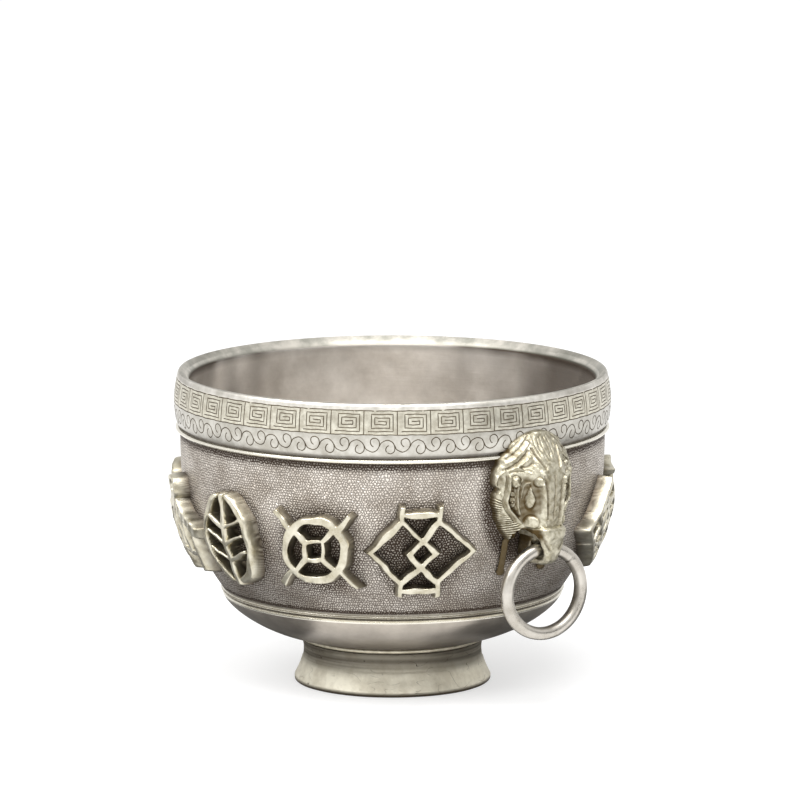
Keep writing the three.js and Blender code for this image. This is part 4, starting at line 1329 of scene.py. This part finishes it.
    def face(self) -> bpy.types.Object:
        """Raises the carved face as a height field over a patch of wall.

        The height climbs with the distance inside the outline and outside the mouth, over the
        draft's width. Elsewhere the patch lies under the wall.

        Returns:
            The face's object, closed by a back inside the wall.
        """
        outline = self.outline
        reach = outline.half_width + 1.5
        x = np.arange(-reach, reach + 1e-6, self.spacing)[None, :]
        z = np.arange(self.mouth_roof - 3.6, outline.top + 1.0, self.spacing)[:, None]
        width = outline.carved_width_at(z)
        slope = np.clip(np.gradient(width, self.spacing, axis=0), -4.0, 4.0)
        x, z, width, slope = np.broadcast_arrays(x, z, width, slope)
        inside = (width - np.abs(x)) / np.hypot(1.0, slope)
        inside = np.minimum(inside, np.minimum(outline.top - z, z - outline.bottom))
        roof = self.mouth_roof - 0.5 * (np.abs(x) - self.mouth_middle) ** 2
        inside = np.minimum(inside, np.maximum(np.abs(x) - self.mouth_half, z - roof))
        share = np.clip(inside / self.draft, 0.0, 1.0)
        shape = 1.0 - (1.0 - share) ** 2.4
        base = self.wall.radius_at(z)
        top = self.plain_face(x, z) - base + self.relief(np.abs(x), z)[0]
        turn = self.angle + x / self.wall.wall_radius
        piece = raised_patch(f"{self.node}_chased", [turn, turn],
                             [base - self.sunk + (top + self.sunk) * shape, base - self.slab], z)
        spots = vertices_of(piece)
        across, off_wall = self.unrolled(spots)
        grime_and_painted_shade = self.relief(np.abs(across), spots[:, 2])[1]
        # Patina and painted shade in the chased hollows, and painted shade on the face's edge where it meets
        # the wall.
        set_attribute(piece, "grime_and_painted_shade", np.clip(grime_and_painted_shade + 0.85 * (1.0 - smoothstep(off_wall, 0.5, 2.2)), 0.0, 1.0))
        return finish_piece(piece, MASK, "bowl", "mask", self.node)

    def unrolled(self, spots: np.ndarray) -> tuple[np.ndarray, np.ndarray]:
        """Distance across the mask and height off the wall of spots in the bowl's space."""
        radius, angle, height = polar(spots)
        return turn_from(angle, self.angle) * self.wall.wall_radius, radius - self.wall.radius_at(height)

    def beak(self) -> bpy.types.Object:
        """Remakes the CAD mask finely for its beak and tails, its face sunk under the carved one.

        Vertices near the plain face move inwards and towards the nose. The beak keeps its shape
        and gets the crease of its lip.

        Returns:
            The beak's object.
        """
        piece = bpy.data.objects.new(f"{self.node}_beak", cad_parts[self.node].data.copy())
        bpy.context.scene.collection.objects.link(piece)
        work = bmesh.new()
        work.from_mesh(piece.data)
        bmesh.ops.remove_doubles(work, verts=work.verts, dist=MERGE_DISTANCE)
        work.to_mesh(piece.data)
        work.free()
        remesh = piece.modifiers.new("fine", "REMESH")
        remesh.mode, remesh.voxel_size = "VOXEL", self.voxel * MM
        soften = piece.modifiers.new("soften", "SMOOTH")
        soften.factor, soften.iterations = 0.5, 7
        mesh = bpy.data.meshes.new_from_object(piece.evaluated_get(bpy.context.evaluated_depsgraph_get()))
        piece.modifiers.clear()
        piece.data = mesh
        mesh.shade_smooth()
        spots = vertices_of(piece)
        z = spots[:, 2]
        across, off_wall = self.unrolled(spots)
        away = np.abs(across)
        plain = self.plain_face(across, z) - self.wall.radius_at(z)
        beak = (1.0 - smoothstep(away, 4.0, 4.6)) * (1.0 - smoothstep(z, 44.6, 46.5))
        covered = (1.0 - beak) * smoothstep(z, self.outline.bottom, self.outline.bottom + 0.8)
        sink = covered * (1.1 + 1.4 * smoothstep(off_wall - plain, 0.0, 0.6)) * smoothstep(off_wall, 1.2, 2.0)
        crease = ChasedLine(((3.1, 43.6), (2.4, 42.0), (1.2, 40.0)), 0.26, 0.4).height(away, z)
        radius = np.hypot(spots[:, 0], spots[:, 1]) - sink - crease * smoothstep(off_wall, 3.0, 5.0)
        turn = self.angle + across * (1.0 - 0.08 * covered) / self.wall.wall_radius
        mesh.vertices.foreach_set("co", (from_polar(radius, turn, z) * MM).ravel())
        mesh.update()
        # Painted shade on the tails close to the wall and in the hole under the beak; patina in the lip's
        # crease.
        hole = smoothstep(away, 2.6, 3.4) * (1.0 - smoothstep(away, 6.2, 6.8))
        hole = hole * (1.0 - smoothstep(z, 44.7, 45.2))
        grime_and_painted_shade = 0.92 * (1.0 - smoothstep(off_wall, 3.0, 5.6)) + 1.6 * crease + hole * smoothstep(z, 40.5, 41.5)
        set_attribute(piece, "grime_and_painted_shade", np.clip(grime_and_painted_shade, 0.0, 1.0))
        return finish_piece(piece, MASK, "bowl", "mask", self.node)

    def plain_face(self, across: np.ndarray, z: np.ndarray) -> np.ndarray:
        """Radius of the bare face: wall, edge, dome that flattens towards the crown, and nose."""
        outline = self.outline
        side = np.clip(np.abs(across) / np.maximum(outline.width_at(z), 0.01), 0.0, 1.0)
        rise = np.clip((z - outline.middle) / outline.crown, 0.0, 1.0)
        dome = (self.dome + (self.crown_dome - self.dome) * rise**2) * (1.0 - side**self.dome_power)
        nose = self.nose_rise * np.exp(-((across / self.nose_half) ** 4))
        fade = 1.0 - smoothstep(z, outline.middle + 3.0, outline.middle + 13.0)
        return self.wall.radius_at(z) + self.edge + dome + nose * fade

    def mane(self, across: np.ndarray, z: np.ndarray) -> tuple[np.ndarray, np.ndarray]:
        """Hatch lines that sweep from the cheek's edge towards the mouth's corner.

        Args:
            across: Distance from the nose.
            z: Height.

        Returns:
            The lines' height, shaped by a cosine across them, and how far the spot lies in the mane.
        """
        slope = -0.3 + 0.9 * smoothstep(z, 45.5, 53.0)
        hatch = 0.5 + 0.5 * np.cos(TAU * (z - slope * (across - 12.0)) / self.mane_pitch)
        socket = np.interp(z, [41.0, 43.5, 45.0, 46.5, 47.6, 48.8, 51.5, 54.0],
                           [5.6, 5.8, 5.4, 6.4, 8.0, 9.5, 9.7, 10.2])
        zone = smoothstep(across, socket, socket + 0.4) * (1.0 - smoothstep(z, 51.9, 52.6))
        return (0.55 * hatch - 0.35) * zone, zone

    def crown(self, across: np.ndarray, z: np.ndarray) -> np.ndarray:
        """Rounded lobes that fan out over the top, with creases between them."""
        turn = np.arctan2(z - 57.0, across)
        out = np.hypot(across, z - 57.0)
        lobes = 0.26 * np.abs(np.sin(4.6 * turn + 0.2)) ** 1.1 - 0.13
        lobes = lobes * smoothstep(out, 5.5, 8.0) * smoothstep(z, 60.5, 63.0)
        return lobes * (0.3 + 0.7 * smoothstep(across, 2.5, 5.0))

    def relief(self, across: np.ndarray, z: np.ndarray) -> tuple[np.ndarray, np.ndarray]:
        """Everything chased on the face.

        Args:
            across: Distance from the nose.
            z: Height.

        Returns:
            Height over the plain face, and how dark the hollows are, by patina and painted shade.
        """
        hollow = np.hypot((across - 5.6) / 3.4, (z - 51.8) / 6.2)
        socket = 0.75 * (1.0 - smoothstep(hollow, 0.75, 1.0))
        ear = 0.5 * (1.0 - smoothstep(np.hypot((across - 10.3) / 0.8, (z - 56.2) / 1.9), 0.4, 1.0))
        raised = sum(line.height(across, z) for line in self.lines if line.rise > 0.0)
        cut = -sum(line.height(across, z) for line in self.lines if line.rise < 0.0)
        bosses = sum(boss.height(across, z) for boss in self.bosses)
        moats = sum(bump(boss.reach(across, z), 1.16, 0.15) for boss in self.bosses)
        hatch, zone = self.mane(across, z)
        fan = self.crown(across, z)
        scales = 0.12 * np.sin(9.0 * across) * np.sin(9.0 * z)
        scales = scales * bump(np.hypot(across - 7.2, z - 49.0), 0.0, 1.0)
        uneven = 0.09 * np.sin(2.3 * across + 0.8) * np.sin(1.9 * z) + 0.05 * np.sin(4.1 * across - 3.3 * z)
        height = raised - cut + bosses + hatch + fan - socket - ear + scales + uneven
        proud = smoothstep(raised + np.maximum(bosses, 0.0), 0.1, 0.45)
        nose = 0.22 * (1.0 - smoothstep(across, 1.6, 2.6)) * (1.0 - smoothstep(z, 57.0, 60.0))
        patches = 1.0 + 0.22 * np.sin(3.1 * across + 1.7 * z) * np.sin(2.3 * z - 1.1 * across)
        # Patina and painted shade in the sockets, ear, cut lines, moats and mane grooves, less on the raised
        # parts.
        grime_and_painted_shade = 0.76 * patches * socket / 0.75 + 1.3 * cut + 0.5 * moats + 0.75 * ear + nose
        grime_and_painted_shade = grime_and_painted_shade * (1.0 - 0.85 * proud) + 0.9 * zone * smoothstep(-hatch, 0.0, 0.3)
        dull = 0.17 * smoothstep(z, 57.5, 61.0) * (1.0 + 0.4 * np.sin(1.7 * across) * np.sin(1.3 * z))
        return height, grime_and_painted_shade + dull + 0.7 * smoothstep(-fan, 0.04, 0.14)


@dataclass
class LooseRing:
    """A ring bent by hand from drawn wire, its ends butted."""

    side: str
    wire: float = 1.5
    extra: float = 0.06
    bulge: float = 0.32
    bulge_angle: float = 0.25
    seam_angle: float = math.radians(46.0)
    seam_depth: float = 0.16
    seam_turn: float = 0.022
    steps: int = 320
    section: int = 40

    def make(self) -> bpy.types.Object:
        """Builds the ring as a wire carried round a nearly true circle.

        The wire's thickness wavers by a few hundredths, and dips at the butted seam.

        Returns:
            The ring's object.
        """
        node = f"ring_{self.side}"
        low, high = node_box(node)
        centre = (low + high) / 2.0
        radius = (high[2] - low[2]) / 2.0 - self.wire
        half = np.array([(high[0] - low[0]) / 2.0 - self.wire, (high[1] - low[1]) / 2.0 - self.wire])
        flat = half / np.linalg.norm(half)
        lean = 1.0 if self.side == "right" else -1.0
        along = np.array([lean * flat[0], flat[1], 0.0])
        up = np.array([0.0, 0.0, 1.0])
        swing = np.arange(self.steps)[:, None] * TAU / self.steps
        turn = np.arange(self.section)[None, :] * TAU / self.section
        waver = 0.04 * np.sin(3.0 * swing + 0.6) + 0.02 * np.sin(7.0 * swing) + 0.01 * np.sin(13.0 * swing)
        bulge = self.bulge * bump(turn_from(swing - math.pi, self.bulge_angle), 0.0, 0.7)
        gap = self.seam_depth * bump(turn_from(swing, self.seam_angle), 0.0, self.seam_turn)
        gap = gap * (0.6 - 0.4 * np.cos(turn))
        thick = self.wire + self.extra - 0.5 * np.abs(waver) - self.wire * gap
        thick = thick * (1.0 - 0.02 * np.cos(4.0 * turn))
        out = np.cos(swing)[..., None] * along + np.sin(swing)[..., None] * up
        normal = np.cross(along, up)
        points = centre + out * (radius + bulge + thick * np.cos(turn))[..., None] + (
            normal * (thick * np.sin(turn))[..., None])
        piece = mesh_object(f"{node}_bent", points.reshape(-1, 3),
                            grid_faces(self.steps, self.section, True, True))
        spots = vertices_of(piece) - centre
        place = np.arctan2(spots[:, 2], spots @ along)
        seam = bump(turn_from(place, self.seam_angle), 0.0, 0.02)
        within = np.clip(radius + 0.1 - np.hypot(spots[:, 2], spots @ along), 0.0, None) / self.wire
        grime_and_painted_shade = 0.8 * seam * within + 0.6 * smoothstep(within, 0.62, 0.95)
        set_attribute(piece, "grime_and_painted_shade", np.clip(grime_and_painted_shade, 0.0, 1.0))
        return finish_piece(piece, RING, f"{self.side}_ring", "ring", node)


@dataclass
class Studio:
    """White floor and background, soft lamps, and the photograph's camera."""

    azimuth: float = 50.15
    distance_mm: float = 1500.0
    height_mm: float = 321.3
    pitch: float = 9.6
    yaw: float = -0.07
    focal_px: float = 6378.5
    frame_px: float = 800.0
    sensor_mm: float = 36.0
    paper_glow: float = 0.56
    lamp_side: float = 0.5

    def camera(self) -> None:
        """Places the camera as the fit to the photograph gives it."""
        data = bpy.data.cameras.new("photo_camera")
        data.sensor_width, data.sensor_height = self.sensor_mm, self.sensor_mm
        data.lens = self.focal_px / self.frame_px * self.sensor_mm
        data.clip_start, data.clip_end = 0.1, 50.0
        camera = bpy.data.objects.new("photo_camera", data)
        turn = math.radians(self.azimuth)
        camera.location = Vector((math.sin(turn) * self.distance_mm, -math.cos(turn) * self.distance_mm,
                                  self.height_mm)) * MM
        camera.rotation_euler = (math.radians(90.0 - self.pitch), 0.0, turn + math.radians(self.yaw))
        bpy.context.scene.collection.objects.link(camera)
        bpy.context.scene.camera = camera

    def aim(self, thing: bpy.types.Object, to_right: float, elevation: float, distance: float,
            target: float) -> None:
        """Places a lamp or card so that it faces the bowl.

        Args:
            thing: The lamp or card.
            to_right: Its direction in degrees, counted to the right from the camera's.
            elevation: Its height above the horizon in degrees.
            distance: Its distance in metres.
            target: Height of the spot that it faces, in metres.
        """
        turn, lift = math.radians(self.azimuth + to_right), math.radians(elevation)
        place = Vector((math.sin(turn) * math.cos(lift), -math.cos(turn) * math.cos(lift), math.sin(lift)))
        thing.location = place * distance + Vector((0.0, 0.0, target))
        thing.rotation_euler = place.to_track_quat("Z", "Y").to_euler()

    def lamp(self, name: str, to_right: float, elevation: float, distance: float, power: float) -> None:
        """Adds a soft square lamp of so many watts, its place as in aim."""
        data = bpy.data.lights.new(name, "AREA")
        data.size, data.energy = self.lamp_side, power
        lamp = bpy.data.objects.new(name, data)
        self.aim(lamp, to_right, elevation, distance, 0.04)
        bpy.context.scene.collection.objects.link(lamp)

    def seen_white(self, tree: bpy.types.NodeTree) -> bpy.types.NodeSocket:
        """One for camera, glossy and transmission rays, which see the white background."""
        rays = add_node(tree, "LightPath").outputs
        either = add_node(tree, "Math", rays["Is Camera Ray"], rays["Is Glossy Ray"], operation="MAXIMUM")
        return add_node(tree, "Math", either.outputs[0], rays["Is Transmission Ray"],
                        operation="MAXIMUM").outputs[0]

    def world(self) -> None:
        """Lights softly from all round, and shows white behind everything."""
        world = bpy.data.worlds.new("studio")
        bpy.context.scene.world = world
        world.use_nodes = True
        tree = world.node_tree
        strength = add_node(tree, "MapRange", self.seen_white(tree), named={"To Min": 0.9, "To Max": 1.0})
        background = tree.nodes["Background"]
        background.inputs["Color"].default_value = (1.0, 1.0, 1.0, 1.0)
        tree.links.new(strength.outputs["Result"], background.inputs["Strength"])

    def floor(self) -> None:
        """Lays a white floor that keeps a pale shadow."""
        bpy.ops.mesh.primitive_plane_add(size=30.0, location=(0.0, 0.0, -0.00005))
        plane = bpy.context.object
        plane.name = "floor"
        material = bpy.data.materials.new("white_paper")
        material.use_nodes = True
        tree = material.node_tree
        tree.nodes.clear()
        paper = add_node(tree, "BsdfDiffuse", (0.8, 0.8, 0.8, 1.0))
        shaded = add_node(tree, "BsdfDiffuse", (0.5, 0.5, 0.5, 1.0))
        glow = add_node(tree, "Emission", named={"Strength": self.paper_glow})
        lifted = add_node(tree, "AddShader", glow.outputs[0], shaded.outputs[0])
        mix = add_node(tree, "MixShader", self.seen_white(tree), paper.outputs[0], lifted.outputs[0])
        add_node(tree, "OutputMaterial", mix.outputs[0])
        plane.data.materials.append(material)

    def flag(self, name: str, to_right: float, elevation: float, distance: float, side: float) -> None:
        """Stands a square dark card off camera, for the metal to reflect, its place as in aim."""
        bpy.ops.mesh.primitive_plane_add(size=1.0)
        card = bpy.context.object
        card.name = name
        self.aim(card, to_right, elevation, distance, 0.03)
        card.scale = (side, side, 1.0)
        self.darken(card, 0.03)

    def floor_card(self, name: str, corners: Sequence[tuple[float, float]]) -> None:
        """Lays a dark card on the floor beside the bowl, painted shadow of the floor that only the metal's
        reflections see.

        Args:
            name: The card's name.
            corners: Corners in millimetres, to the right of the bowl's middle and away from the camera.
        """
        turn = math.radians(self.azimuth)
        spin = np.array([[math.cos(turn), math.sin(turn)], [-math.sin(turn), math.cos(turn)]])
        spots = np.column_stack([np.array(corners) @ spin, np.full(len(corners), 0.3)]) * MM
        mesh = bpy.data.meshes.new(name)
        mesh.from_pydata(spots.tolist(), [], [list(range(len(corners)))])
        card = bpy.data.objects.new(name, mesh)
        bpy.context.scene.collection.objects.link(card)
        self.darken(card, 0.2)

    def darken(self, card: bpy.types.Object, shade: float) -> None:
        """Makes a card dark, and seen by reflections only.

        Args:
            card: The card.
            shade: How much light it gives back.
        """
        material = bpy.data.materials.new(f"{card.name}_card")
        material.use_nodes = True
        shader = material.node_tree.nodes["Principled BSDF"]
        shader.inputs["Base Color"].default_value = (shade, shade, shade, 1.0)
        shader.inputs["Roughness"].default_value = 0.9
        card.data.materials.append(material)
        card.visible_camera = False
        card.visible_shadow = False
        card.visible_diffuse = False

    def make(self) -> None:
        """Sets up the whole studio."""
        self.camera()
        self.world()
        self.floor()
        self.lamp("key_softbox", -62.0, 48.0, 0.9, 4.0)
        self.lamp("top_softbox", 8.0, 60.0, 0.8, 5.4)
        self.flag("dark_card_right", 56.0, -4.0, 0.7, 0.4)
        # Painted shadow of the floor beside the bowl, as dark cards that only reflections see.
        self.floor_card("floor_shadow_card_left", ((-24, -25), (-50, -65), (-190, 0), (-150, 120), (-24, 60)))
        self.floor_card("floor_shadow_card_right", (
            (9, -26), (45, -38), (190, -60), (190, 120), (24, 60), (26, 0), (22, -14)))
        bpy.context.scene.view_settings.view_transform = "Standard"


def main() -> None:
    """Builds the studio and every piece of the bowl, in order."""
    logging.basicConfig(level=logging.INFO, format="%(name)s: %(message)s")
    Studio().make()
    wall = Wall()
    reliefs = Reliefs(wall)
    Shell(wall, reliefs.places()).make()
    RimBand(wall).make()
    Mouldings(wall).make()
    reliefs.make()
    for side in ("right", "left"):
        BeastMask(side, wall).make()
        LooseRing(side).make()


if __name__ == "__main__":
    main()
